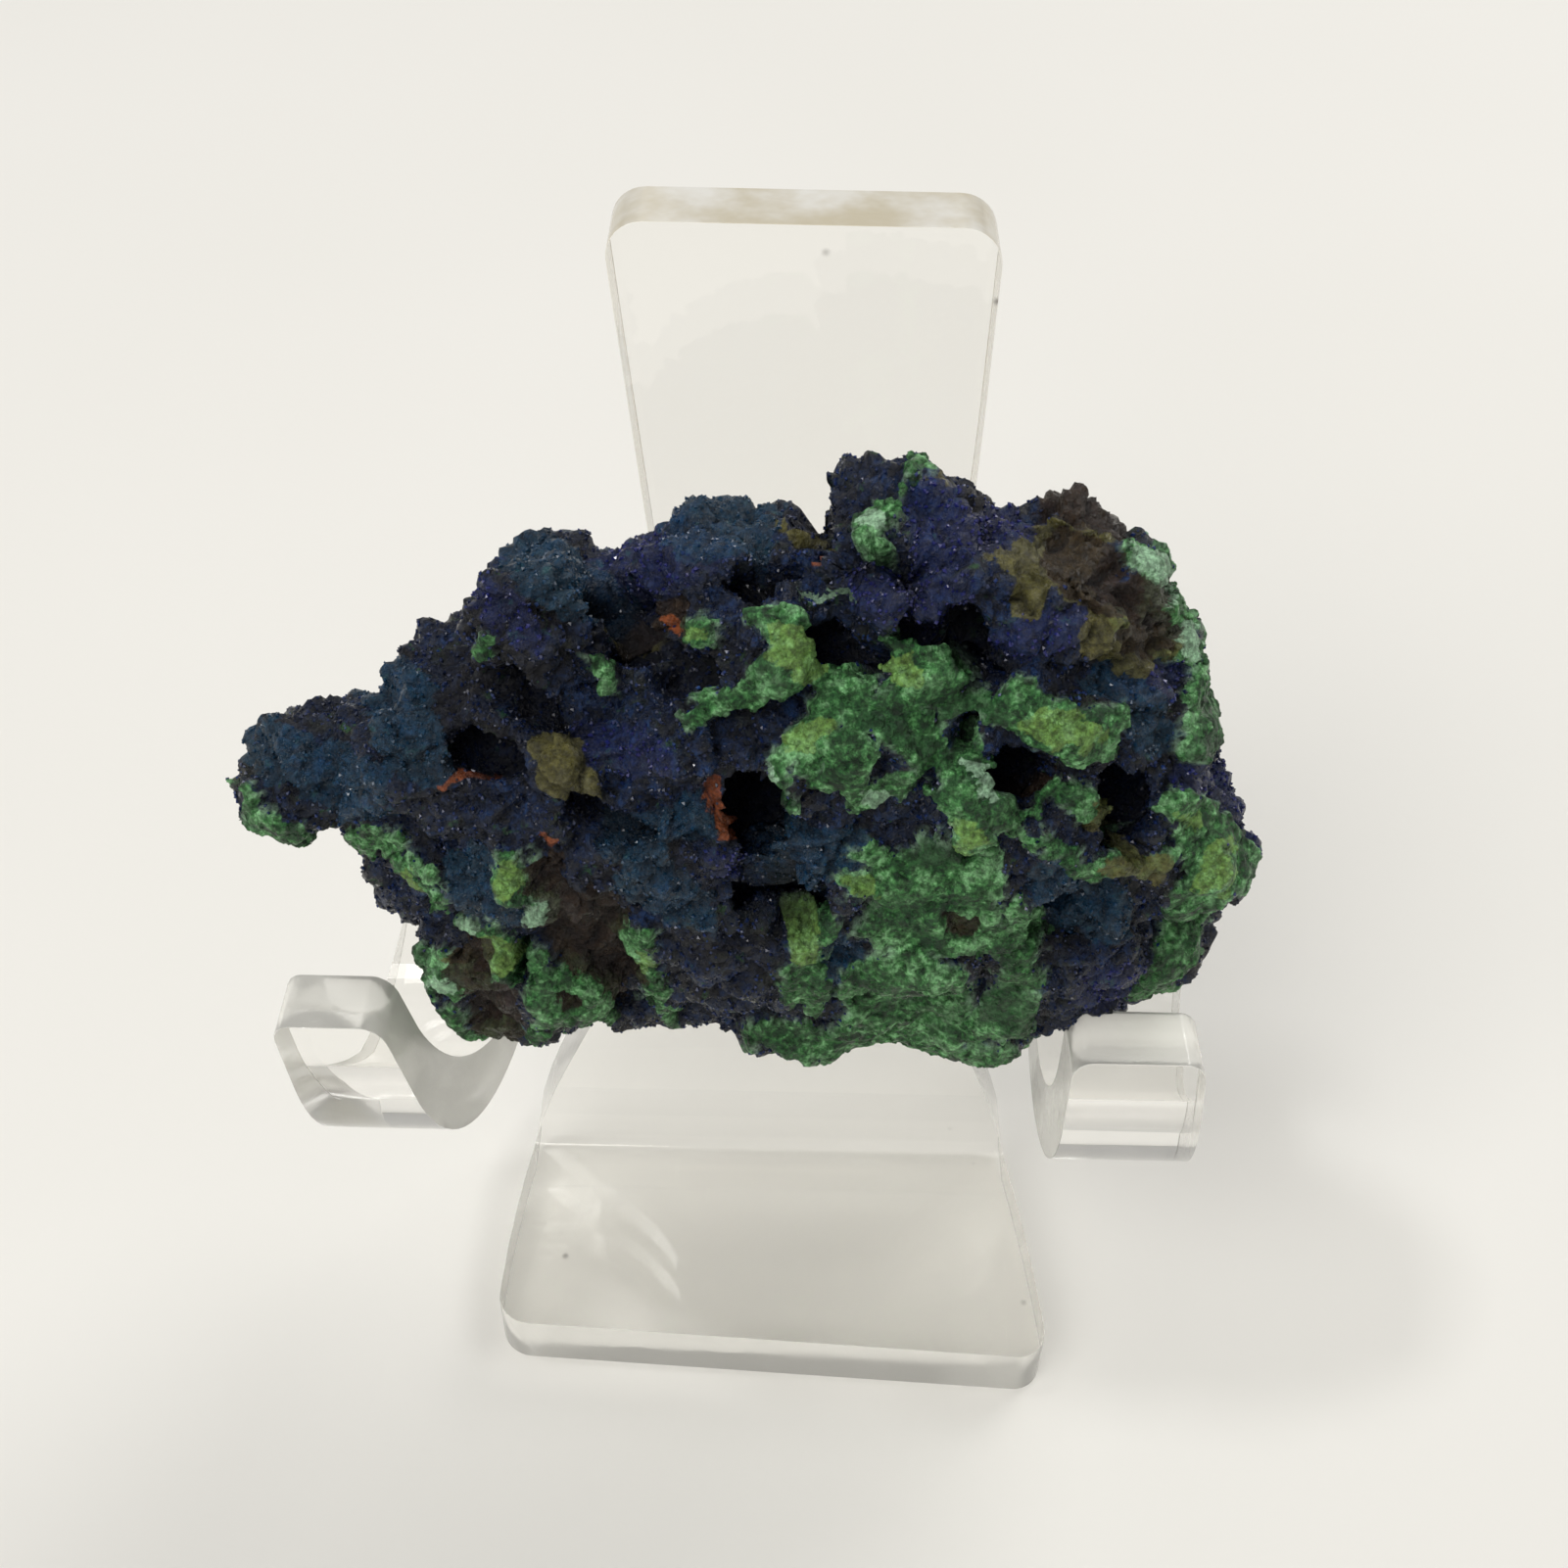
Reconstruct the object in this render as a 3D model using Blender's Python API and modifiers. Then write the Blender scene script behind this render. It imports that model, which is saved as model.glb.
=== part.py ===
"""Raw azurite and malachite specimen on a one-piece clear acrylic easel.

The easel is one sheet: a foot flat on the table, a bend, a back plate that leans back, and two arms
that leave the waist of the plate, turn down and curl forward into hooks. The stone stands in the hooks
and leans on the plate. Metres, +Z up, -Y to the front. The origin is on the table at the middle of the
foot. Places on the plate and the stone are given as (across, up, out) in millimetres: across to the
right, up along the plate from the bend, and out from the plate's front face.
"""

import math

import bmesh
import bpy
from mathutils import Matrix, Vector

MM = 0.001

# Acrylic sheet
SHEET = 4.5
EDGE_ROUND = 1.1
PLATE_LEAN = math.radians(80.0)
BEND_INSIDE_RADIUS = 0.8
BEND_STEPS = 7
BEND_FROM_FOOT_MIDDLE = 8.0
FOOT_LENGTH = 15.0
FOOT_FRONT_SKEW = math.tan(math.radians(3.0))
PLATE_LENGTH = 68.9
CORNER_RADIUS = 2.2
CORNER_STEPS = 4

# Half width of the sheet at each distance from the bend, negative on the foot
HALF_WIDTHS = (
    (-15.0, 18.3),
    (-9.0, 17.8),
    (0.0, 16.4),
    (5.0, 14.9),
    (10.0, 12.9),
    (15.0, 10.9),
    (20.0, 9.2),
    (26.0, 8.1),
    (38.0, 8.0),
    (54.0, 9.4),
    (68.9, 10.5),
)

# How far the sheet's middle line stands to the right at each distance from the bend
SIDEWAYS = (
    (-15.0, 0.65),
    (0.0, 0.2),
    (10.0, 0.35),
    (26.0, 1.1),
    (46.0, 1.8),
    (68.9, 1.1),
)

# Hook arms
ARM_WIDTH = 10.0
ARM_ROOT_LOW = 26.0
ARM_ROOT_HIGH = 38.0
ARM_TURN_STEPS = 5
HOOK_GAP = 11.0
HOOK_STEPS = 10
HOOK_TIP_CORNER = 1.2
LEFT_ARM = {"side": -1, "across": 18.5, "hook_up": 21.5, "tip": 4.3, "tip_width": 6.4, "splay": 0.25}
RIGHT_ARM = {"side": 1, "across": 22.2, "hook_up": 20.0, "tip": 4.2, "tip_width": 7.8, "splay": -0.012}

# Stone
CLEARANCE = 0.3
STONE_VOXEL = 0.8
STONE_TRIANGLES = 7800
CRUST_RELIEF = 1.7
CRUST_SCALE = 4.4
GRAIN_RELIEF = 0.7
GRAIN_SCALE = 2.2

# Each form: place across, up, out; half size across, up, out; turn in degrees in the plate's plane
MASSES = (
    ("left core", (-11.0, 40.6, 9.5), (12.0, 10.4, 8.5), 22),
    ("middle core", (0.0, 41.0, 9.5), (14.0, 16.0, 9.0), 0),
    ("right core", (12.0, 42.0, 9.5), (12.5, 15.0, 9.0), 0),
    ("lower left mass", (-13.0, 31.0, 8.5), (8.5, 9.5, 7.5), -25),
    ("lower middle mass", (2.0, 29.0, 7.5), (14.0, 8.5, 6.5), 0),
    ("lower right mass", (14.5, 30.0, 8.0), (8.5, 8.0, 7.0), 30),
)
RIM_LOBES = (
    ("left tip", (-26.2, 40.3, 10.0), (3.3, 3.4, 4.0), 0),
    ("left tip foot", (-27.2, 38.4, 10.0), (2.1, 2.6, 2.6), 0),
    ("left shoulder", (-22.0, 40.8, 9.5), (4.0, 3.4, 5.0), 20),
    ("left hump", (-18.4, 45.4, 9.5), (2.9, 3.2, 4.5), 20),
    ("knob", (-12.0, 50.4, 9.5), (3.9, 4.5, 5.6), 0),
    ("knob left cheek", (-14.2, 48.8, 10.5), (2.0, 2.6, 3.0), 0),
    ("middle hump", (-3.0, 52.0, 9.0), (4.4, 4.9, 6.0), 0),
    ("middle hump crest", (-1.2, 54.9, 9.0), (2.2, 2.0, 3.5), 0),
    ("top block", (6.4, 55.7, 11.0), (4.6, 4.4, 6.0), 10),
    ("top block crest", (6.4, 58.1, 10.0), (2.6, 2.4, 3.5), 0),
    ("top block corner", (3.4, 57.0, 10.0), (1.9, 2.7, 3.5), 0),
    ("top right shoulder", (12.2, 53.6, 9.0), (4.2, 4.0, 5.0), 0),
    ("brown lobe", (15.6, 55.6, 8.5), (3.1, 2.7, 4.0), -10),
    ("upper right lobe", (18.3, 52.2, 9.5), (2.7, 3.4, 4.5), 0),
    ("right bulb upper", (20.0, 48.8, 10.0), (2.6, 2.6, 3.6), 0),
    ("right bulb", (21.3, 45.4, 10.5), (2.5, 2.6, 3.4), 0),
    ("right wing", (22.8, 38.0, 11.0), (4.7, 3.7, 4.6), -25),
    ("right wing tip", (25.2, 36.6, 11.0), (2.2, 3.0, 3.2), 0),
    ("lower right side", (21.7, 30.6, 9.0), (4.0, 5.0, 4.5), 15),
    ("lower right foot", (19.2, 26.0, 7.0), (4.4, 4.6, 5.0), 30),
    ("right heel", (20.8, 20.6, 3.4), (2.4, 3.2, 2.4), 0),
    ("lower left foot", (-15.6, 24.0, 8.0), (4.3, 4.6, 5.0), 0),
    ("left heel", (-17.2, 20.6, 6.2), (2.4, 3.4, 3.0), 0),
    ("left flank", (-20.6, 33.4, 8.5), (3.0, 5.0, 4.5), 25),
    ("underside left", (-7.8, 23.8, 7.4), (4.7, 3.6, 4.8), 0),
    ("underside middle", (1.6, 23.2, 8.0), (7.0, 3.4, 5.0), 0),
    ("underside right", (12.0, 23.4, 8.0), (4.8, 3.8, 5.0), 0),
)
FRONT_FORMS = (
    ("upper left malachite", (0.6, 53.0, 15.6), (1.9, 3.0, 2.4), 5),
    ("middle malachite", (4.4, 48.8, 16.2), (3.6, 3.6, 2.8), 35),
    ("crested malachite", (7.4, 52.6, 15.6), (2.4, 1.9, 2.6), 0),
    ("right malachite", (14.4, 49.6, 15.6), (3.7, 2.3, 2.6), -5),
    ("small left malachite", (-2.2, 50.6, 15.6), (2.2, 1.2, 1.8), 20),
    ("curled malachite", (0.8, 45.6, 16.4), (1.6, 3.2, 2.4), 0),
    ("bright malachite", (9.8, 45.0, 16.6), (2.5, 3.4, 2.8), 10),
    ("malachite slope", (8.4, 36.4, 15.0), (4.4, 6.5, 3.4), 0),
    ("malachite flake", (1.9, 34.4, 15.4), (1.6, 2.4, 2.0), 20),
    ("thin ridge", (15.6, 42.0, 16.4), (4.4, 1.1, 1.8), -18),
    ("wing crest", (22.4, 39.4, 14.6), (3.0, 2.4, 2.4), -25),
    ("lower right bulge", (17.4, 33.0, 14.0), (4.0, 4.0, 3.0), 0),
    ("upper ledge", (7.6, 57.2, 14.6), (5.6, 1.7, 2.4), -6),
    ("olive swell", (14.4, 55.0, 14.0), (3.6, 3.2, 3.0), 0),
    ("knob front", (-12.6, 53.6, 14.0), (3.2, 3.4, 2.6), 0),
    ("left slope", (-18.6, 44.0, 13.6), (4.0, 3.4, 3.0), 20),
    ("olive patch", (-10.4, 46.0, 16.4), (2.3, 2.8, 2.0), 0),
    ("bar above the flake", (-3.6, 47.8, 16.4), (4.0, 2.6, 2.4), 0),
    ("druse swell", (-6.0, 41.4, 16.6), (3.6, 3.4, 2.4), -30),
    ("lower druse", (-3.4, 35.0, 15.4), (3.4, 4.2, 2.6), 0),
    ("lower left knob", (-14.6, 37.4, 15.2), (2.0, 2.2, 2.0), 0),
    ("lower left ridge", (-12.4, 31.4, 13.8), (5.0, 2.0, 2.4), -30),
    ("left toe", (-14.8, 26.6, 11.6), (3.4, 3.0, 2.8), 0),
    ("middle toe", (-8.6, 29.6, 12.6), (3.2, 2.4, 2.4), -20),
)
HOLLOWS = (
    ("under the upper ledge", (3.6, 54.4, 17.6), (2.3, 1.7, 3.4), 15),
    ("behind the crested malachite", (8.4, 55.0, 17.4), (2.6, 1.2, 3.4), -10),
    ("under the top block", (6.2, 60.2, 17.0), (3.4, 1.5, 3.0), 0),
    ("cleft beside the top block", (1.3, 58.8, 9.0), (0.8, 3.2, 6.0), -10),
    ("beside the flake", (-0.9, 43.4, 18.0), (1.4, 2.3, 4.0), 15),
    ("below the curl", (0.6, 38.4, 17.6), (3.0, 1.3, 3.2), 5),
    ("below the saddle", (-7.6, 52.6, 16.0), (1.8, 3.4, 3.0), 0),
    ("left of the olive patch", (-13.0, 49.4, 17.0), (2.2, 1.4, 2.8), -20),
    ("right of the knob", (-15.4, 46.4, 16.6), (1.6, 2.0, 2.6), 0),
    ("behind the wing", (18.4, 44.2, 17.0), (1.8, 1.8, 3.4), 0),
    ("below the thin ridge", (15.8, 37.2, 17.4), (2.8, 1.4, 2.8), 0),
    ("beside the bright malachite", (13.0, 46.2, 17.6), (1.5, 1.2, 2.8), -20),
    ("between the toes", (-12.0, 27.4, 13.8), (0.8, 2.6, 2.6), 0),
    ("under the left slope", (-17.4, 39.8, 15.6), (2.4, 1.0, 2.2), -25),
    ("side notch", (24.6, 42.4, 12.0), (1.2, 1.2, 4.0), 0),
    ("tip notch", (-23.6, 36.6, 10.0), (1.5, 1.4, 5.0), 0),
)

OUTWARD = Vector((0.0, -math.sin(PLATE_LEAN), math.cos(PLATE_LEAN)))
UPWARD = Vector((0.0, math.cos(PLATE_LEAN), math.sin(PLATE_LEAN)))
ACROSS = Vector((1.0, 0.0, 0.0))
BEND = Vector((0.0, BEND_FROM_FOOT_MIDDLE, SHEET)) * MM


def plate_matrix():
    """Takes (across, up, out) in millimetres to the world in metres."""
    turn = Matrix((ACROSS, UPWARD, OUTWARD)).transposed().to_4x4()
    return Matrix.Translation(BEND) @ turn @ Matrix.Scale(MM, 4)


def collection(name):
    found = bpy.data.collections.new(name)
    bpy.context.scene.collection.children.link(found)
    return found


def mesh_object(name, bm, where):
    mesh = bpy.data.meshes.new(name)
    bm.to_mesh(mesh)
    bm.free()
    obj = bpy.data.objects.new(name, mesh)
    where.objects.link(obj)
    return obj


def make_cutter(obj):
    obj.hide_render = True
    obj.display_type = "WIRE"


def material(name, color, roughness, metallic=0.0, transmission=0.0, ior=1.45):
    made = bpy.data.materials.new(name)
    made.use_nodes = True
    shader = made.node_tree.nodes["Principled BSDF"]
    shader.inputs["Base Color"].default_value = (*color, 1.0)
    shader.inputs["Roughness"].default_value = roughness
    shader.inputs["Metallic"].default_value = metallic
    shader.inputs["Transmission Weight"].default_value = transmission
    shader.inputs["IOR"].default_value = ior
    return made


def along_table(table, distance):
    """The size at a distance from the bend, on a smooth curve through a table of (distance, size)."""
    last = len(table) - 1
    place = min(max(distance, table[0][0]), table[last][0])
    i = max(k for k in range(last) if table[k][0] <= place)

    def slope(k):
        low, high = max(k - 1, 0), min(k + 1, last)
        return (table[high][1] - table[low][1]) / (table[high][0] - table[low][0])

    (x0, y0), (x1, y1) = table[i], table[i + 1]
    span = x1 - x0
    t = (place - x0) / span
    return (
        y0 * (1 + 2 * t) * (1 - t) ** 2
        + y1 * t * t * (3 - 2 * t)
        + span * t * (1 - t) * (slope(i) * (1 - t) - slope(i + 1) * t)
    )


def middle_line(distance):
    """Mid-sheet point at a distance from the bend, in millimetres from the bend's inside corner."""
    turn_radius = BEND_INSIDE_RADIUS + SHEET / 2
    reach = BEND_INSIDE_RADIUS * math.tan(PLATE_LEAN / 2)
    if distance <= -reach:
        return Vector((0.0, distance, -SHEET / 2))
    if distance >= reach:
        return UPWARD * distance - OUTWARD * SHEET / 2
    angle = (distance + reach) / (2 * reach) * PLATE_LEAN
    return Vector(
        (
            0.0,
            -reach + turn_radius * math.sin(angle),
            BEND_INSIDE_RADIUS - turn_radius * math.cos(angle),
        )
    )


def end_rows(end, inward):
    """Distances and insets of the rows that round the two corners at an end of the sheet."""
    for step in range(CORNER_STEPS + 1):
        angle = math.radians(90.0) * step / CORNER_STEPS
        yield (
            end + inward * CORNER_RADIUS * (1 - math.cos(angle)),
            CORNER_RADIUS * (1 - math.sin(angle)),
        )


def sheet_rows():
    """Every row across the sheet, front of the foot to the top, as (distance, inset at its ends)."""
    reach = BEND_INSIDE_RADIUS * math.tan(PLATE_LEAN / 2)
    rows = list(end_rows(-FOOT_LENGTH, 1))
    rows += [(-9.0, 0.0), (-4.0, 0.0)]
    rows += [(reach * (2 * k / BEND_STEPS - 1), 0.0) for k in range(BEND_STEPS + 1)]
    rows += [(d, 0.0) for d in (5.0, 10.0, 15.0, 20.0, ARM_ROOT_LOW, ARM_ROOT_HIGH, 46.0, 54.0)]
    rows += reversed(list(end_rows(PLATE_LENGTH, -1)))
    return rows


def row_end(distance, inset, side, margin):
    """The left or right end of a row, in millimetres from the bend's inside corner."""
    across = along_table(SIDEWAYS, distance) + side * (along_table(HALF_WIDTHS, distance) - inset + margin)
    slant = FOOT_FRONT_SKEW * across * max(-distance, 0.0) / FOOT_LENGTH
    return middle_line(distance) + Vector((across, -slant, 0.0))


def arm_rows(arm, margin):
    """Rows along an arm past its root, as pairs of (across, up, out) for its inner and outer edge."""
    side, up = arm["side"], arm["hook_up"]
    radius = (HOOK_GAP + SHEET) / 2
    length = radius * math.pi + arm["tip"]
    root = along_table(HALF_WIDTHS, (ARM_ROOT_LOW + ARM_ROOT_HIGH) / 2)
    rows = []

    def hook_row(along, inset, height, out):
        middle = arm["across"] + arm["splay"] * along
        width = ARM_WIDTH + (arm["tip_width"] - ARM_WIDTH) * along / length
        half = width / 2 + margin - inset
        rows.append([(side * (middle + way * half), height, out) for way in (-1, 1)])

    inner, outer = (arm["across"] + way * (ARM_WIDTH / 2 + margin) for way in (-1, 1))
    for step in range(1, ARM_TURN_STEPS + 1):
        angle = math.radians(90.0) * step / ARM_TURN_STEPS
        pair = []
        for edge, start in ((inner, ARM_ROOT_LOW - margin), (outer, ARM_ROOT_HIGH + margin)):
            across = root + (edge - root) * math.sin(angle)
            pair.append((side * across, up + (start - up) * math.cos(angle), -SHEET / 2))
        rows.append(pair)
    for step in range(1, HOOK_STEPS + 1):
        angle = math.pi * step / HOOK_STEPS
        height = up - radius * math.sin(angle)
        hook_row(radius * angle, 0.0, height, radius * (1 - math.cos(angle)) - SHEET / 2)
    for inset in (0.0, HOOK_TIP_CORNER):
        rise = arm["tip"] - HOOK_TIP_CORNER + inset
        hook_row(radius * math.pi + rise, inset, up + rise + margin, 2 * radius - SHEET / 2)
    return rows


def easel_surface(name, where, thickness, margin):
    """The bent sheet as an open surface at its middle, with Solidify giving it its thickness."""
    bm = bmesh.new()
    rows = []
    for distance, inset in sheet_rows():
        ends = [row_end(distance, inset, side, margin) * MM + BEND for side in (-1, 1)]
        rows.append([bm.verts.new(end) for end in ends])
    for low, high in zip(rows, rows[1:]):
        bm.faces.new((low[0], low[1], high[1], high[0]))
    distances = [distance for distance, _ in sheet_rows()]
    root_low = rows[distances.index(ARM_ROOT_LOW)]
    root_high = rows[distances.index(ARM_ROOT_HIGH)]
    to_world = plate_matrix()
    for arm in (LEFT_ARM, RIGHT_ARM):
        end = 0 if arm["side"] < 0 else 1
        previous = (root_low[end], root_high[end])
        for pair in arm_rows(arm, margin):
            fresh = [bm.verts.new(to_world @ Vector(point)) for point in pair]
            bm.faces.new((previous[0], fresh[0], fresh[1], previous[1]))
            previous = fresh
    bmesh.ops.recalc_face_normals(bm, faces=bm.faces)
    easel = mesh_object(name, bm, where)
    thicken = easel.modifiers.new("Sheet thickness", "SOLIDIFY")
    thicken.thickness = thickness * MM
    thicken.offset = 0.0
    thicken.use_even_offset = True
    return easel


def build_easel(parts):
    easel = easel_surface("easel", parts, SHEET, 0.0)
    rounding = easel.modifiers.new("Polished edges", "BEVEL")
    rounding.width = EDGE_ROUND * MM
    rounding.segments = 2
    rounding.limit_method = "ANGLE"
    rounding.angle_limit = math.radians(50.0)
    easel.data.materials.append(material("Clear acrylic", (0.95, 0.95, 0.93), 0.03, 0.0, 1.0, 1.49))
    return easel


def cloud_of_forms(name, forms, where):
    """One mesh that holds an ellipsoid for each form."""
    bm = bmesh.new()
    for _, place, half_size, turn in forms:
        matrix = (
            plate_matrix()
            @ Matrix.Translation(place)
            @ Matrix.Rotation(math.radians(turn), 4, "Z")
            @ Matrix.Diagonal((*half_size, 1.0))
        )
        bmesh.ops.create_icosphere(bm, subdivisions=3, radius=1.0, matrix=matrix)
    return mesh_object(name, bm, where)


def add_remesh(obj, voxel):
    remesh = obj.modifiers.new("One skin", "REMESH")
    remesh.mode = "VOXEL"
    remesh.voxel_size = voxel * MM


def add_relief(obj, name, kind, scale, relief):
    texture = bpy.data.textures.new(name, kind)
    texture.noise_scale = scale * MM
    if kind == "CLOUDS":
        texture.noise_depth = 1
    displace = obj.modifiers.new(name, "DISPLACE")
    displace.texture = texture
    displace.texture_coords = "GLOBAL"
    displace.strength = relief * MM
    displace.mid_level = 0.5


def add_cut(obj, cutter):
    cut = obj.modifiers.new("Cut " + cutter.name, "BOOLEAN")
    cut.operation = "DIFFERENCE"
    cut.object = cutter


def apply_modifiers(obj):
    bpy.context.view_layer.update()
    graph = bpy.context.evaluated_depsgraph_get()
    mesh = bpy.data.meshes.new_from_object(obj.evaluated_get(graph))
    obj.modifiers.clear()
    obj.data = mesh


def build_stone(parts, cutters):
    """The stone: forms fused into one skin, hollows cut in, crusty relief, then room for the easel."""
    stone = cloud_of_forms("azurite", MASSES + RIM_LOBES + FRONT_FORMS, parts)
    add_remesh(stone, STONE_VOXEL)
    hollows = cloud_of_forms("hollows", HOLLOWS, cutters)
    add_remesh(hollows, STONE_VOXEL)
    make_cutter(hollows)
    add_cut(stone, hollows)
    add_remesh(stone, STONE_VOXEL)
    add_relief(stone, "Crusty lumps", "CLOUDS", CRUST_SCALE, CRUST_RELIEF)
    add_relief(stone, "Crystal grain", "VORONOI", GRAIN_SCALE, GRAIN_RELIEF)
    apply_modifiers(stone)
    thin = stone.modifiers.new("Fewer facets", "DECIMATE")
    thin.ratio = STONE_TRIANGLES / (2 * len(stone.data.polygons))
    room = easel_surface("room for the easel", cutters, SHEET + 2 * CLEARANCE, CLEARANCE)
    make_cutter(room)
    add_cut(stone, room)
    stone.data.materials.append(material("Azurite and malachite", (0.03, 0.08, 0.18), 0.75))
    return stone


def main():
    for obj in list(bpy.data.objects):
        bpy.data.objects.remove(obj, do_unlink=True)
    parts = collection("Raw azurite on easel")
    cutters = collection("Cutters")
    build_easel(parts)
    build_stone(parts, cutters)


main()
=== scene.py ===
"""Dressed scene of a raw azurite and malachite specimen that stands in a clear acrylic easel.

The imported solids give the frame. The stone is refined from its own solid: crags, pits and raised malachite
crusts are shaped into the mesh, and azurite crystals and malachite beads are grown on it by Geometry Nodes.
The easel is one bent sheet of clear acrylic with softened edges.

Places on the stone are given as (across, up, out) in millimetres on the easel's back plate: across to the
right, up along the plate from its bend, and out from its front face. Metres elsewhere, +Z up.
"""

from __future__ import annotations

import logging
import math
from dataclasses import dataclass
from enum import Enum
from typing import Any

import bmesh
import bpy
import numpy as np
from mathutils import Matrix, Vector, noise
from mathutils.bvhtree import BVHTree

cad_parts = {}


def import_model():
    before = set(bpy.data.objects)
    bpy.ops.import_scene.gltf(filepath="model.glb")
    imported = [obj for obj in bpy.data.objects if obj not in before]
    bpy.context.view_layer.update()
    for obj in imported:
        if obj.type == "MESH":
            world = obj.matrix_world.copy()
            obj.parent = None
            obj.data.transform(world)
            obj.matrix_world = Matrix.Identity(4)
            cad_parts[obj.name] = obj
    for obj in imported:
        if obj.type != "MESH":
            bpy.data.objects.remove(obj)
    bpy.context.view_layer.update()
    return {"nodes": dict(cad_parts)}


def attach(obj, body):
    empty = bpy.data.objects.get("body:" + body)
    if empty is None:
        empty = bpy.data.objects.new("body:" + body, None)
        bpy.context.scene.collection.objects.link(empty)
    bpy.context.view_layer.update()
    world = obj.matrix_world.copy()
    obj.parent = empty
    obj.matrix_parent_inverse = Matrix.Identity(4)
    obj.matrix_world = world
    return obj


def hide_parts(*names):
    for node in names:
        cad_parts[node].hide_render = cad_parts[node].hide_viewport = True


LOG = logging.getLogger("specimen")
MM = 0.001
PER_MM = 1000.0

Color = tuple[float, float, float]
Place = tuple[float, float, float]
Pairs = tuple[tuple[float, float], ...]
Stops = tuple[tuple[float, Color], ...]


class Mineral(Enum):
    """What a patch of the stone's skin is made of, or does."""

    MALACHITE = "malachite"
    DEEP = "deep"
    PALE = "pale"
    YELLOW = "yellow"
    VIOLET = "violet"
    TEAL = "teal"
    BROWN = "brown"
    OLIVE = "olive"
    RUST = "rust"
    HOLLOW = "hollow"


@dataclass(frozen=True)
class Patch:
    """A streak on the stone's skin, seen square on at the stone's middle depth.

    Attributes:
        half: Its half width, in millimetres.
        places: The points that its middle passes, (across, up) in millimetres.
    """

    half: float
    places: Pairs

    def nearness(self, flat: np.ndarray) -> np.ndarray:
        """Measures how near each point is to the streak.

        Args:
            flat: Points on the sheet, (across, up) in millimetres.

        Returns:
            For each point, 0 on the middle line and 1 at the streak's edge.
        """
        ends = np.array(self.places)
        best = np.full(len(flat), np.inf)
        for start, stop in zip(ends, ends[1:]):
            span = stop - start
            share = np.clip(((flat - start) @ span) / max(span @ span, 1e-9), 0.0, 1.0)
            best = np.minimum(best, np.linalg.norm(flat - start - share[:, None] * span, axis=1))
        return best / self.half


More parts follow.
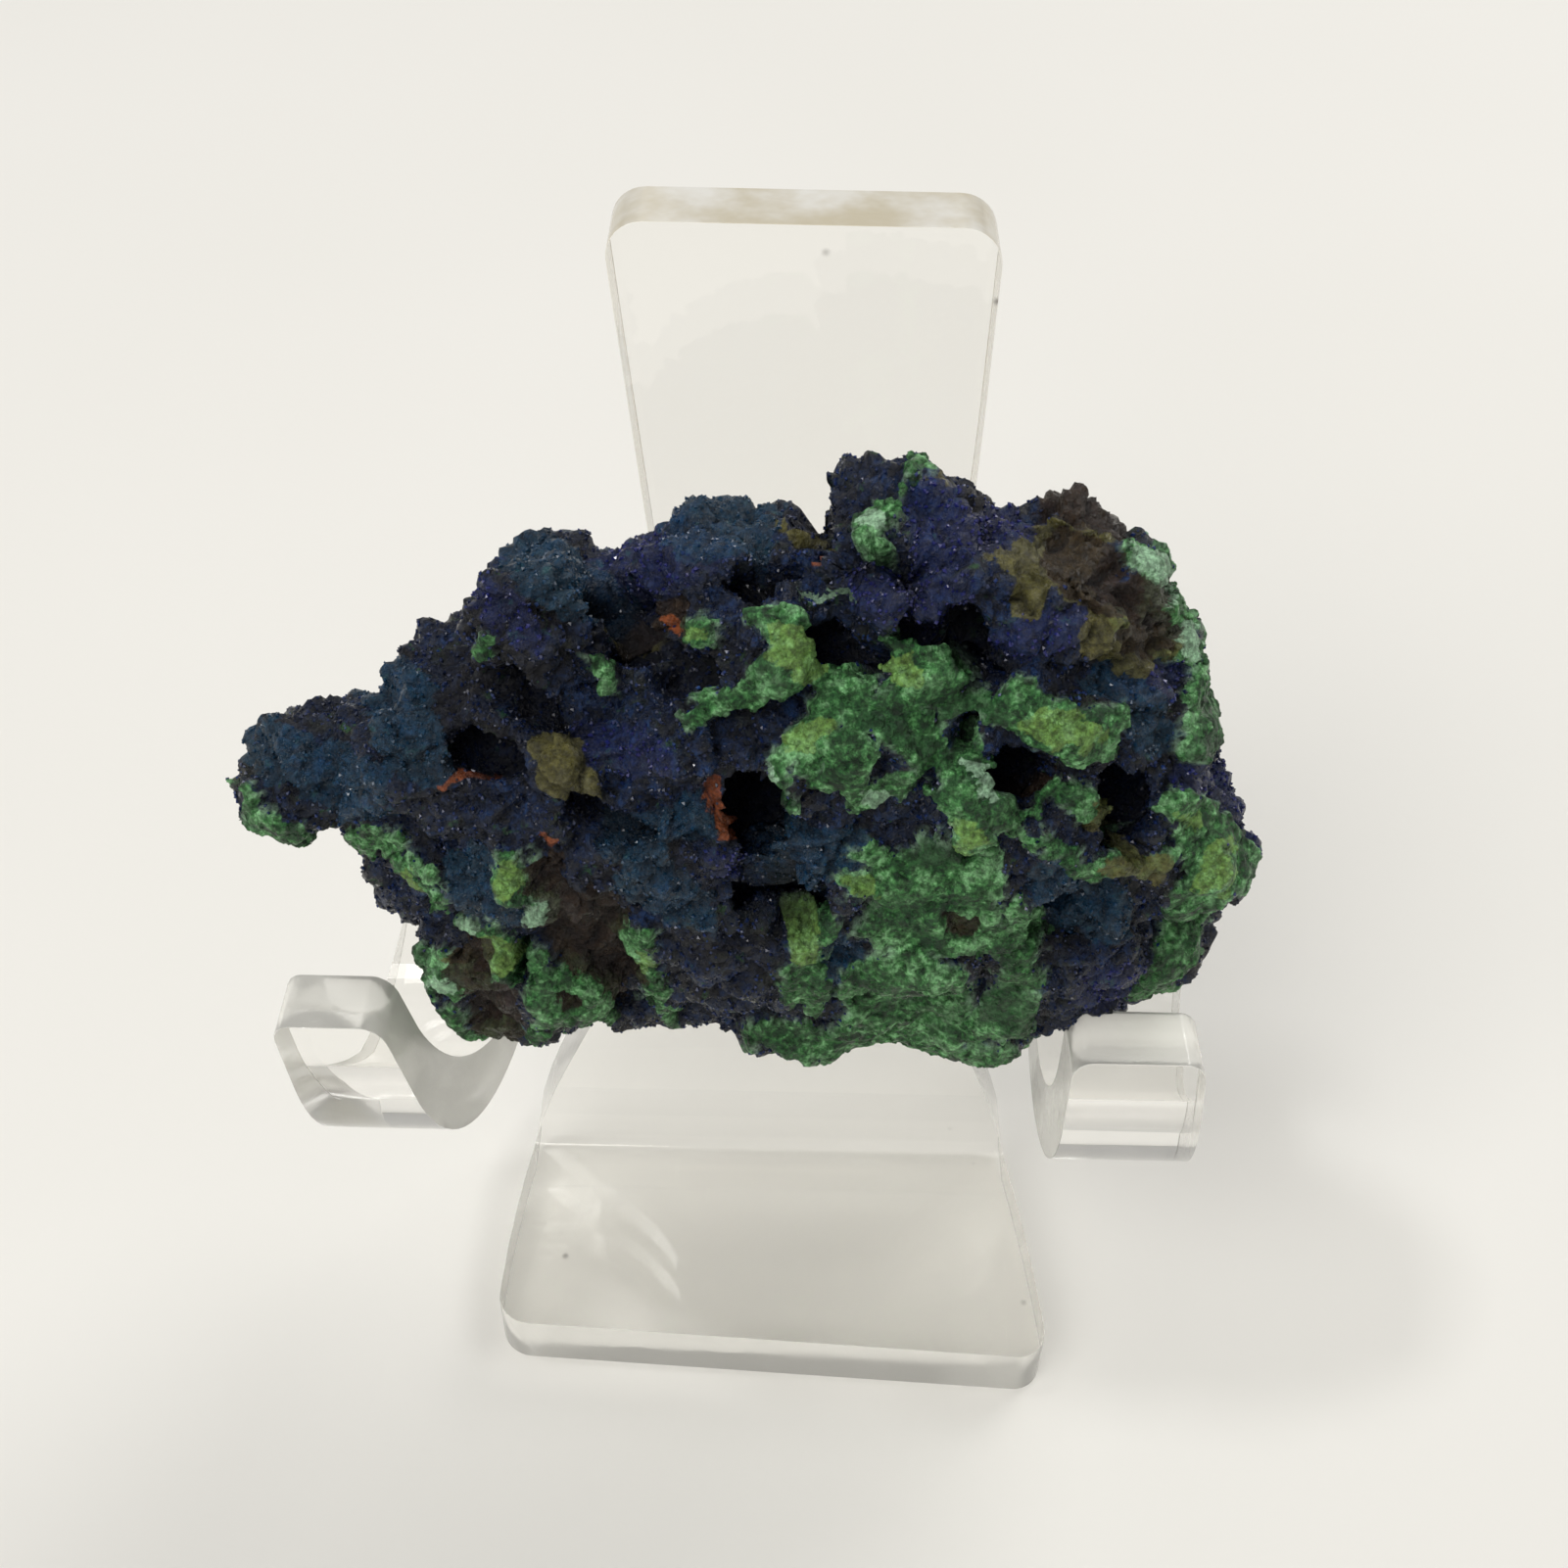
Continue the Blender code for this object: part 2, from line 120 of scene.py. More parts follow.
PATCHES: dict[Mineral, tuple[Patch, ...]] = {
    Mineral.MALACHITE: (
        Patch(1.0, ((-0.2, 51.5), (0.9, 51.0), (0.9, 49.2), (0.2, 48.4))),
        Patch(0.8, ((1.4, 48.5), (3.3, 48.5), (4.8, 47.8))),
        Patch(1.0, ((3.4, 47.0), (2.5, 45.4), (1.9, 44.1))),
        Patch(0.5, ((1.5, 44.5), (0.9, 42.7), (0.6, 40.7), (1.0, 39.2))),
        Patch(0.5, ((2.1, 43.1), (2.8, 41.1))),
        Patch(0.6, ((4.0, 45.4), (4.7, 43.5), (4.7, 41.2), (4.9, 39.8))),
        Patch(0.7, ((4.6, 46.0), (6.2, 44.5), (7.6, 43.2), (8.8, 44.2))),
        Patch(0.5, ((5.5, 40.2), (6.6, 41.1), (7.9, 42.1), (9.4, 43.4))),
        Patch(1.0, ((6.6, 50.0), (8.3, 49.3), (9.4, 49.1))),
        Patch(0.7, ((6.6, 47.8), (8.4, 47.2), (9.4, 47.1))),
        Patch(0.7, ((9.7, 46.8), (11.2, 46.8), (12.3, 46.2))),
        Patch(0.8, ((13.0, 47.4), (13.8, 46.0), (14.7, 44.4), (15.5, 44.1))),
        Patch(1.0, ((15.2, 46.0), (16.7, 45.1), (17.9, 45.9))),
        Patch(0.7, ((16.7, 43.8), (17.7, 44.1))),
        Patch(0.8, ((10.1, 42.3), (11.3, 42.5), (11.6, 40.9))),
        Patch(0.9, ((10.0, 40.3), (11.5, 39.5), (12.5, 39.4))),
        Patch(0.8, ((11.3, 38.0), (11.7, 36.6))),
        Patch(0.4, ((8.6, 40.6), (9.3, 40.5))),
        Patch(0.3, ((13.5, 39.1), (14.8, 39.6), (15.2, 40.5))),
        Patch(0.7, ((15.8, 41.0), (17.1, 40.0), (18.5, 39.4))),
        Patch(0.5, ((14.0, 38.1), (16.0, 36.7), (18.1, 35.0), (19.5, 35.9), (20.7, 35.8))),
        Patch(1.2, ((8.2, 35.6), (10.4, 35.7), (11.5, 35.2))),
        Patch(1.3, ((7.8, 33.7), (10.3, 33.6), (11.9, 33.8))),
        Patch(1.4, ((7.5, 31.1), (10.1, 30.8), (11.9, 31.8))),
        Patch(0.8, ((14.3, 30.4), (15.4, 31.2))),
        Patch(0.6, ((5.4, 36.3), (6.2, 35.6), (6.6, 33.8))),
        Patch(0.9, ((4.9, 34.0), (5.0, 33.9))),
        Patch(0.8, ((3.0, 31.3), (2.1, 28.2), (2.5, 25.3))),
        Patch(0.6, ((1.2, 27.4), (1.6, 25.4))),
        Patch(1.5, ((6.8, 31.0), (9.4, 30.3), (11.6, 30.4))),
        Patch(1.5, ((5.8, 26.2), (8.4, 27.6), (10.5, 25.7))),
        Patch(1.0, ((14.2, 30.1), (14.8, 27.8), (14.3, 25.6))),
        Patch(0.9, ((12.7, 23.5), (15.2, 24.9))),
        Patch(0.6, ((-0.8, 22.5), (3.9, 22.3), (9.8, 22.2), (15.4, 22.9))),
        Patch(0.6, ((17.7, 56.7), (19.1, 55.5), (20.1, 54.1), (20.9, 52.1), (21.4, 50.1))),
        Patch(0.8, ((22.7, 48.5), (22.9, 46.5), (23.0, 44.1))),
        Patch(0.7, ((21.8, 39.9), (22.9, 40.2), (24.9, 38.5), (26.2, 37.1), (26.7, 35.1))),
        Patch(0.9, ((25.2, 35.9), (24.5, 34.4), (24.0, 32.9))),
        Patch(0.6, ((22.7, 38.2), (24.1, 37.1))),
        Patch(0.5, ((24.1, 32.0), (24.4, 29.5), (23.8, 27.0), (23.2, 26.0))),
        Patch(0.5, ((18.7, 35.2), (20.9, 35.8), (22.0, 36.4))),
        Patch(0.4, ((14.4, 32.6), (14.9, 32.2))),
        Patch(0.5, ((18.0, 52.6), (18.3, 51.6))),
        Patch(0.7, ((-23.2, 36.4), (-21.9, 36.8), (-21.0, 36.3))),
        Patch(0.5, ((-20.5, 34.8), (-19.9, 34.3), (-19.5, 33.2), (-18.7, 32.0))),
        Patch(0.8, ((-14.7, 35.3), (-14.9, 34.0), (-14.7, 32.9))),
        Patch(0.7, ((-13.7, 31.2), (-13.3, 31.4))),
        Patch(0.9, ((-16.2, 29.4), (-15.7, 28.0), (-15.5, 26.7))),
        Patch(0.5, ((-17.4, 30.2), (-17.2, 30.0))),
        Patch(0.7, ((-20.4, 27.7), (-19.5, 27.7))),
        Patch(0.8, ((-19.5, 25.7), (-18.4, 25.4), (-17.6, 25.0))),
        Patch(0.6, ((-19.0, 22.9), (-18.5, 21.2), (-16.7, 20.6), (-15.5, 21.3))),
        Patch(0.7, ((-13.8, 27.9), (-13.4, 25.9), (-13.7, 23.9))),
        Patch(0.9, ((-12.5, 26.3), (-11.3, 26.4), (-10.5, 24.8))),
        Patch(0.6, ((-10.1, 24.2), (-9.8, 24.0))),
        Patch(0.3, ((-14.9, 21.3), (-13.3, 22.4), (-11.8, 23.2), (-9.3, 23.4))),
        Patch(0.6, ((-8.0, 29.6), (-7.6, 28.5), (-7.2, 26.9), (-6.5, 24.9), (-6.0, 23.3))),
        Patch(0.8, ((-28.2, 37.4), (-26.8, 36.7))),
        Patch(0.4, ((-29.0, 40.2), (-28.8, 38.4))),
        Patch(0.6, ((5.5, 58.7), (4.6, 57.8), (5.2, 56.6))),
        Patch(0.4, ((6.7, 60.6), (6.8, 60.1))),
        Patch(0.7, ((-3.9, 51.3), (-3.8, 50.6))),
        Patch(0.6, ((-4.5, 45.2), (-2.6, 46.5), (-0.8, 47.4))),
        Patch(0.4, ((-9.3, 48.6), (-9.2, 47.5))),
        Patch(0.3, ((-15.0, 50.2), (-15.0, 49.5))),
        Patch(0.7, ((3.7, 47.6), (5.0, 46.7), (6.7, 46.1), (8.5, 45.4))),
        Patch(0.6, ((2.7, 44.4), (3.8, 43.0), (3.5, 41.5))),
        Patch(0.6, ((7.3, 44.2), (8.6, 43.9))),
        Patch(0.5, ((10.6, 44.6), (10.9, 43.6))),
        Patch(1.3, ((6.2, 24.1), (8.5, 24.0), (10.7, 23.1))),
        Patch(1.0, ((12.8, 29.7), (14.5, 30.5))),
        Patch(1.0, ((14.3, 25.0), (15.1, 23.0))),
        Patch(0.5, ((-18.4, 27.0), (-17.7, 25.8))),
        Patch(0.5, ((-12.6, 23.5), (-10.8, 24.0), (-9.6, 24.8))),
        Patch(0.6, ((23.3, 36.8), (24.3, 35.6))),
        Patch(0.9, ((-0.5, 22.0), (2.8, 20.9), (6.9, 20.5), (10.5, 20.8), (14.1, 20.7))),
        Patch(0.7, ((24.2, 32.3), (23.3, 28.4), (22.1, 26.0))),
    ),
    Mineral.DEEP: (
        Patch(0.8, ((9.9, 46.8), (11.2, 46.7), (12.3, 46.1))),
        Patch(0.6, ((5.2, 45.4), (6.7, 44.5), (8.3, 44.2))),
        Patch(0.7, ((8.2, 36.3), (9.3, 36.5))),
        Patch(1.2, ((13.1, 25.8), (15.0, 23.8))),
        Patch(0.9, ((14.2, 26.6), (15.3, 23.4))),
        Patch(0.7, ((-20.5, 28.5), (-20.2, 26.9))),
        Patch(0.6, ((-14.3, 31.0), (-15.4, 31.8))),
        Patch(0.4, ((12.9, 37.6), (15.3, 35.7))),
        Patch(0.5, ((22.9, 44.9), (23.2, 43.0))),
    ),
    Mineral.PALE: (
        Patch(0.4, ((18.0, 56.5), (19.1, 55.3), (20.1, 53.9))),
        Patch(0.3, ((21.3, 51.6), (21.6, 50.1))),
        Patch(0.3, ((0.3, 41.9), (0.2, 40.7), (0.8, 38.6))),
        Patch(0.3, ((5.2, 40.5), (5.8, 40.0), (6.3, 40.5))),
        Patch(0.3, ((1.8, 53.4), (2.9, 53.7), (3.7, 53.5))),
        Patch(0.4, ((5.1, 58.4), (4.9, 57.6))),
        Patch(0.6, ((-13.9, 31.2), (-13.0, 31.2))),
        Patch(0.4, ((-17.4, 30.3), (-17.3, 30.0))),
        Patch(0.4, ((-19.4, 25.7), (-18.5, 25.8))),
        Patch(0.4, ((11.3, 42.2), (11.8, 40.9))),
    ),
    Mineral.YELLOW: (
        Patch(0.8, ((0.7, 50.1), (2.0, 48.8))),
        Patch(0.6, ((1.5, 44.4), (2.5, 44.7))),
        Patch(0.5, ((7.1, 48.3), (6.5, 49.2))),
        Patch(0.8, ((14.7, 45.4), (16.8, 44.8))),
        Patch(0.7, ((4.9, 34.0), (5.1, 33.8))),
        Patch(0.5, ((11.0, 38.7), (11.3, 37.8))),
        Patch(0.7, ((-14.7, 34.8), (-14.8, 33.5))),
        Patch(0.4, ((-20.0, 34.1), (-19.7, 33.2))),
        Patch(0.7, ((-16.1, 29.0), (-15.6, 27.5))),
        Patch(0.4, ((-7.0, 28.1), (-7.3, 26.9))),
        Patch(0.4, ((-6.9, 53.4), (-6.8, 53.1))),
        Patch(0.5, ((-3.9, 51.1), (-3.8, 50.8))),
        Patch(0.7, ((2.0, 30.1), (2.2, 29.0))),
        Patch(0.5, ((25.0, 37.1), (24.9, 35.0))),
        Patch(0.4, ((23.0, 39.4), (23.4, 39.1))),
    ),
    Mineral.OLIVE: (
        Patch(1.2, ((-11.6, 43.0), (-10.8, 40.1))),
        Patch(0.7, ((11.7, 55.6), (13.2, 54.7), (12.9, 53.2))),
        Patch(0.7, ((13.6, 57.3), (15.4, 58.0), (16.2, 57.6))),
        Patch(0.7, ((17.6, 51.8), (18.9, 50.1), (19.6, 49.1))),
        Patch(0.7, ((19.8, 35.5), (21.1, 35.8))),
        Patch(0.4, ((-18.6, 27.8), (-18.2, 27.4))),
        Patch(0.5, ((18.4, 39.9), (18.1, 38.8))),
        Patch(1.0, ((12.7, 55.6), (14.4, 56.5), (16.1, 54.2))),
        Patch(1.2, ((17.4, 51.5), (19.7, 50.6))),
        Patch(0.5, ((-8.8, 51.1), (-7.3, 49.9))),
        Patch(0.3, ((0.6, 57.6), (1.5, 56.9))),
        Patch(0.3, ((7.8, 60.0), (8.2, 59.6))),
    ),
    Mineral.BROWN: (
        Patch(0.9, ((14.5, 55.9), (16.1, 54.5), (17.2, 53.5))),
        Patch(0.7, ((18.4, 54.3), (19.5, 54.0))),
        Patch(0.7, ((20.1, 50.6), (18.8, 51.1))),
        Patch(0.6, ((13.2, 59.3), (15.0, 59.8), (16.7, 59.0), (17.6, 58.1))),
        Patch(1.1, ((-12.5, 34.1), (-12.7, 32.8))),
        Patch(0.9, ((-12.6, 30.3), (-11.5, 28.8), (-10.1, 27.2))),
        Patch(0.8, ((-9.7, 31.9), (-9.2, 29.6), (-8.9, 27.2), (-8.9, 24.8))),
        Patch(0.8, ((-17.3, 28.6), (-17.2, 27.0))),
        Patch(1.2, ((-16.5, 24.6), (-16.6, 23.0), (-16.1, 21.5))),
        Patch(0.6, ((-12.1, 24.7), (-11.7, 24.5))),
        Patch(0.7, ((10.8, 31.2), (11.5, 30.9))),
        Patch(0.5, ((13.7, 41.4), (14.5, 41.8))),
        Patch(1.0, ((-7.7, 51.2), (-5.2, 52.1))),
        Patch(0.9, ((14.6, 57.2), (17.1, 54.7))),
        Patch(0.7, ((18.2, 53.5), (20.5, 51.7))),
        Patch(1.1, ((14.3, 60.0), (17.1, 59.0))),
        Patch(1.1, ((-12.7, 33.5), (-11.2, 29.8), (-8.4, 25.9))),
        Patch(1.0, ((-17.6, 27.6), (-16.6, 22.9))),
    ),
    Mineral.RUST: (
        Patch(0.6, ((-3.0, 39.7), (-2.4, 37.7))),
        Patch(0.3, ((2.1, 56.5), (2.3, 55.8))),
        Patch(0.3, ((-5.4, 51.6), (-5.2, 51.2))),
        Patch(0.3, ((-18.1, 40.7), (-16.1, 41.7))),
        Patch(0.3, ((-13.0, 36.9), (-12.8, 36.1))),
    ),
    Mineral.VIOLET: (
        Patch(1.5, ((11.3, 57.6), (12.9, 56.5))),
        Patch(1.6, ((-7.7, 54.8), (-4.6, 56.1))),
        Patch(1.3, ((12.8, 51.1), (14.8, 51.7))),
        Patch(1.4, ((5.0, 54.5), (8.6, 53.4))),
        Patch(1.2, ((-9.6, 43.4), (-6.9, 42.8))),
        Patch(1.4, ((23.8, 41.6), (25.9, 38.1))),
        Patch(1.5, ((20.1, 26.0), (22.9, 26.8))),
        Patch(1.0, ((-14.8, 52.8), (-13.4, 51.0))),
        Patch(0.9, ((-2.6, 35.2), (-0.9, 34.5))),
        Patch(1.2, ((7.8, 58.7), (9.1, 56.7))),
        Patch(1.2, ((19.9, 48.1), (20.6, 50.6))),
    ),
    Mineral.TEAL: (
        Patch(1.9, ((-26.8, 42.3), (-23.2, 40.3))),
        Patch(1.6, ((-20.5, 47.0), (-19.3, 42.5))),
        Patch(1.7, ((-12.6, 55.9), (-10.2, 53.5))),
        Patch(1.7, ((-3.6, 57.3), (-1.6, 57.3))),
        Patch(1.4, ((-4.8, 38.0), (-8.1, 36.5))),
        Patch(1.7, ((0.7, 35.3), (3.5, 36.1))),
        Patch(1.5, ((-4.9, 31.4), (-7.1, 33.6))),
        Patch(1.5, ((16.4, 34.3), (19.5, 31.4))),
        Patch(1.3, ((-17.2, 34.1), (-16.2, 31.1))),
        Patch(1.0, ((18.2, 48.7), (20.8, 44.2))),
        Patch(1.2, ((3.7, 28.6), (4.9, 26.3))),
    ),
    Mineral.HOLLOW: (
        Patch(0.8, ((2.7, 50.6), (4.5, 49.9), (5.0, 49.5))),
        Patch(0.8, ((7.2, 51.5), (9.2, 51.4), (10.5, 50.2))),
        Patch(0.5, ((10.8, 49.6), (11.2, 48.7))),
        Patch(0.9, ((0.1, 40.1), (0.4, 38.0))),
        Patch(0.9, ((-1.1, 40.1), (-0.7, 37.4))),
        Patch(1.1, ((-8.2, 53.0), (-7.8, 49.9))),
        Patch(0.8, ((-6.7, 49.9), (-5.2, 48.7))),
        Patch(1.5, ((-0.1, 33.8), (0.8, 30.9))),
        Patch(0.4, ((10.3, 45.6), (10.6, 44.0))),
        Patch(0.7, ((13.1, 42.6), (12.7, 41.4))),
        Patch(0.7, ((18.9, 41.6), (19.9, 37.4))),
        Patch(1.1, ((16.4, 30.5), (17.3, 30.6))),
        Patch(0.6, ((20.2, 38.4), (20.3, 37.0))),
        Patch(1.1, ((4.4, 55.4), (7.0, 55.2))),
        Patch(0.5, ((1.9, 59.7), (2.1, 56.2))),
        Patch(1.0, ((-14.2, 47.2), (-12.1, 45.3))),
        Patch(0.8, ((-16.5, 43.2), (-14.5, 41.9))),
        Patch(1.0, ((-10.3, 38.6), (-8.1, 37.2))),
        Patch(0.4, ((-14.3, 28.5), (-14.4, 26.3))),
        Patch(0.8, ((1.0, 31.7), (2.4, 32.4))),
        Patch(0.3, ((10.7, 36.8), (11.4, 36.4))),
        Patch(0.8, ((-5.2, 47.4), (-3.7, 48.1))),
        Patch(0.8, ((-1.6, 53.8), (-0.1, 54.4))),
        Patch(0.5, ((10.7, 49.9), (11.2, 48.8))),
        Patch(0.5, ((19.8, 42.1), (20.2, 40.1))),
    ),
}


def smooth_step(low: float, high: float, value: np.ndarray) -> np.ndarray:
    """Rises smoothly from 0 at low to 1 at high, or falls where high is less than low.

    Args:
        low: Where the result is 0.
        high: Where the result is 1.
        value: The values to grade.

    Returns:
        The graded values, from 0 to 1.
    """
    t = np.clip((value - low) / (high - low), 0.0, 1.0)
    return t * t * (3.0 - 2.0 * t)


@dataclass(frozen=True)
class Plate:
    """The easel's back plate as a frame of reference.

    Attributes:
        lean: Angle of the plate from the table, in radians.
        bend: The bend's inside corner, in millimetres in the world.
        eye: Where the object is seen from, as (across, up, out) in millimetres.
        depth: How far out the patches' sheet stands, in millimetres.
    """

    lean: float = math.radians(80.0)
    bend: Place = (0.0, 8.0, 4.5)
    eye: Place = (0.7, 117.6, 109.2)
    depth: float = 11.0

    def axes(self) -> np.ndarray:
        """Returns the plate's across, up and out directions, as rows."""
        c, s = math.cos(self.lean), math.sin(self.lean)
        return np.array(((1.0, 0.0, 0.0), (0.0, c, s), (0.0, -s, c)))

    def to_world(self, points: np.ndarray) -> np.ndarray:
        """Takes (across, up, out) in millimetres to the world in metres."""
        return (np.asarray(points) @ self.axes() + np.array(self.bend)) * MM

    def from_world(self, points: np.ndarray) -> np.ndarray:
        """Takes world points in metres to (across, up, out) in millimetres."""
        return (points * PER_MM - np.array(self.bend)) @ self.axes().T

    def on_sheet(self, points: np.ndarray) -> np.ndarray:
        """Slides points along their sight lines onto the sheet that the patches are drawn on.

        Args:
            points: (across, up, out) in millimetres.

        Returns:
            Their (across, up) on the sheet, in millimetres.
        """
        eye = np.array(self.eye)
        t = (eye[2] - self.depth) / (eye[2] - points[:, 2])
        return eye[:2] + (points[:, :2] - eye[:2]) * t[:, None]


class Graph:
    """A short way to write a shader's node tree."""

    def __init__(self, name: str) -> None:
        """Starts a material with one Principled shader and object coordinates in millimetres.

        Args:
            name: The material's name.
        """
        self.material = bpy.data.materials.new(name)
        self.material.use_nodes = True
        self.tree = self.material.node_tree
        self.shader = self.tree.nodes["Principled BSDF"]
        place = self.tree.nodes.new("ShaderNodeTexCoord")
        scale = self.tree.nodes.new("ShaderNodeMapping")
        scale.inputs["Scale"].default_value = (PER_MM,) * 3
        self.tree.links.new(place.outputs["Object"], scale.inputs["Vector"])
        self.mm = scale.outputs["Vector"]

    def put(self, socket: Any, value: Any) -> None:
        """Sets a socket.

        Args:
            socket: The input socket.
            value: A number, a colour, or another node's output, which is linked.
        """
        if isinstance(value, bpy.types.NodeSocket):
            self.tree.links.new(value, socket)
        elif isinstance(value, tuple) and len(value) == 3 and socket.type == "RGBA":
            socket.default_value = (*value, 1.0)
        else:
            socket.default_value = value

    def shade(self, **values: Any) -> None:
        """Sets sockets of the Principled shader, with underscores for the spaces of their names."""
        for name, value in values.items():
            self.put(self.shader.inputs[name.replace("_", " ")], value)

    def math(self, operation: str, a: Any, b: Any = 0.0, clamp: bool = False) -> Any:
        """Does one sum on numbers.

        Args:
            operation: The Math node's operation.
            a: The first number.
            b: The second number.
            clamp: Whether the result is kept between 0 and 1.

        Returns:
            The result's socket.
        """
        node = self.tree.nodes.new("ShaderNodeMath")
        node.operation = operation
        node.use_clamp = clamp
        self.put(node.inputs[0], a)
        self.put(node.inputs[1], b)
        return node.outputs[0]

    def grade(self, value: Any, low: float, high: float) -> Any:
        """Grades a value smoothly.

        Args:
            value: The value.
            low: Where the result is 0.
            high: Where the result is 1.

        Returns:
            The result's socket.
        """
        node = self.tree.nodes.new("ShaderNodeMapRange")
        node.interpolation_type = "SMOOTHSTEP"
        self.put(node.inputs["Value"], value)
        self.put(node.inputs["From Min"], low)
        self.put(node.inputs["From Max"], high)
        return node.outputs["Result"]

    def mix(self, share: Any, a: Any, b: Any, blend: str = "MIX") -> Any:
        """Mixes two colours.

        Args:
            share: How much of the second colour shows, 0 to 1.
            a: The first colour.
            b: The second colour.
            blend: The Mix node's way of blending.

        Returns:
            The mixed colour's socket.
        """
        node = self.tree.nodes.new("ShaderNodeMix")
        node.data_type = "RGBA"
        node.blend_type = blend
        self.put(node.inputs[0], share)
        self.put(node.inputs[6], a)
        self.put(node.inputs[7], b)
        return node.outputs[2]

    def stain(self, base: Any, color: Color, most: float, value: Any, low: float, high: float) -> Any:
        """Mixes a colour over another where a value is high.

        Args:
            base: The colour below.
            color: The colour that is mixed in.
            most: The most that it covers.
            value: The value that says where.
            low: Where it starts to show.
            high: Where it shows the most.

        Returns:
            The mixed colour.
        """
        return self.mix(self.math("MULTIPLY", self.grade(value, low, high), most), base, color)

    def height(self) -> Any:
        """Reads the height.

        Returns:
            The height above the object's origin, in millimetres.
        """
        node = self.tree.nodes.new("ShaderNodeSeparateXYZ")
        self.tree.links.new(self.mm, node.inputs["Vector"])
        return node.outputs["Z"]

    def noise(self, scale: float, detail: float = 3.0, rough: float = 0.5, warp: float = 0.0) -> Any:
        """Makes fractal noise.

        Args:
            scale: Cycles a millimetre.
            detail: How many finer layers are added.
            rough: How strong the finer layers are.
            warp: How far the noise is bent by itself.

        Returns:
            The noise, 0 to 1.
        """
        node = self.tree.nodes.new("ShaderNodeTexNoise")
        self.put(node.inputs["Vector"], self.mm)
        self.put(node.inputs["Scale"], scale)
        self.put(node.inputs["Detail"], detail)
        self.put(node.inputs["Roughness"], rough)
        self.put(node.inputs["Distortion"], warp)
        return node.outputs["Fac"]

    def cells(self, scale: float, feature: str = "F1", output: str = "Distance") -> Any:
        """Makes Voronoi cells.

        Args:
            scale: Cells a millimetre.
            feature: The Voronoi node's feature.
            output: Which of its outputs is read.

        Returns:
            That output's socket.
        """
        node = self.tree.nodes.new("ShaderNodeTexVoronoi")
        node.feature = feature
        self.put(node.inputs["Vector"], self.mm)
        self.put(node.inputs["Scale"], scale)
        return node.outputs[output]

    def ramp(self, value: Any, stops: Stops) -> Any:
        """Colours a value by a ramp.

        Args:
            value: The value, 0 to 1.
            stops: The ramp's places and colours.

        Returns:
            The colour's socket.
        """
        node = self.tree.nodes.new("ShaderNodeValToRGB")
        ramp = node.color_ramp
        while len(ramp.elements) < len(stops):
            ramp.elements.new(0.5)
        for element, (position, color) in zip(ramp.elements, stops):
            element.position = position
            element.color = (*color, 1.0)
        self.put(node.inputs[0], value)
        return node.outputs["Color"]

    def attribute(self, name: str) -> Any:
        """Reads a number that the mesh holds at its points.

        Args:
            name: The attribute's name.

        Returns:
            The number's socket.
        """
        node = self.tree.nodes.new("ShaderNodeAttribute")
        node.attribute_name = name
        return node.outputs["Fac"]

    def bump(self, height: Any, distance: float, strength: float = 1.0) -> None:
        """Adds relief to the shader's normal.

        Args:
            height: The relief, 0 to 1.
            distance: The height of 1, in millimetres.
            strength: How much of it shows.
        """
        node = self.tree.nodes.new("ShaderNodeBump")
        self.put(node.inputs["Height"], height)
        self.put(node.inputs["Distance"], distance * MM)
        self.put(node.inputs["Strength"], strength)
        earlier = self.shader.inputs["Normal"].links
        if earlier:
            self.put(node.inputs["Normal"], earlier[0].from_socket)
        self.put(self.shader.inputs["Normal"], node.outputs["Normal"])

    def pass_lamps(self, share: float) -> None:
        """Lets lamp light through the surface, so that clear acrylic casts a pale shadow.

        Args:
            share: The share of the light that passes.
        """
        tree = self.tree
        path, clear = tree.nodes.new("ShaderNodeLightPath"), tree.nodes.new("ShaderNodeBsdfTransparent")
        both = tree.nodes.new("ShaderNodeMixShader")
        self.put(both.inputs[0], self.math("MULTIPLY", path.outputs["Is Shadow Ray"], share))
        self.put(both.inputs[1], self.shader.outputs[0])
        self.put(both.inputs[2], clear.outputs[0])
        self.put(tree.nodes["Material Output"].inputs["Surface"], both.outputs[0])


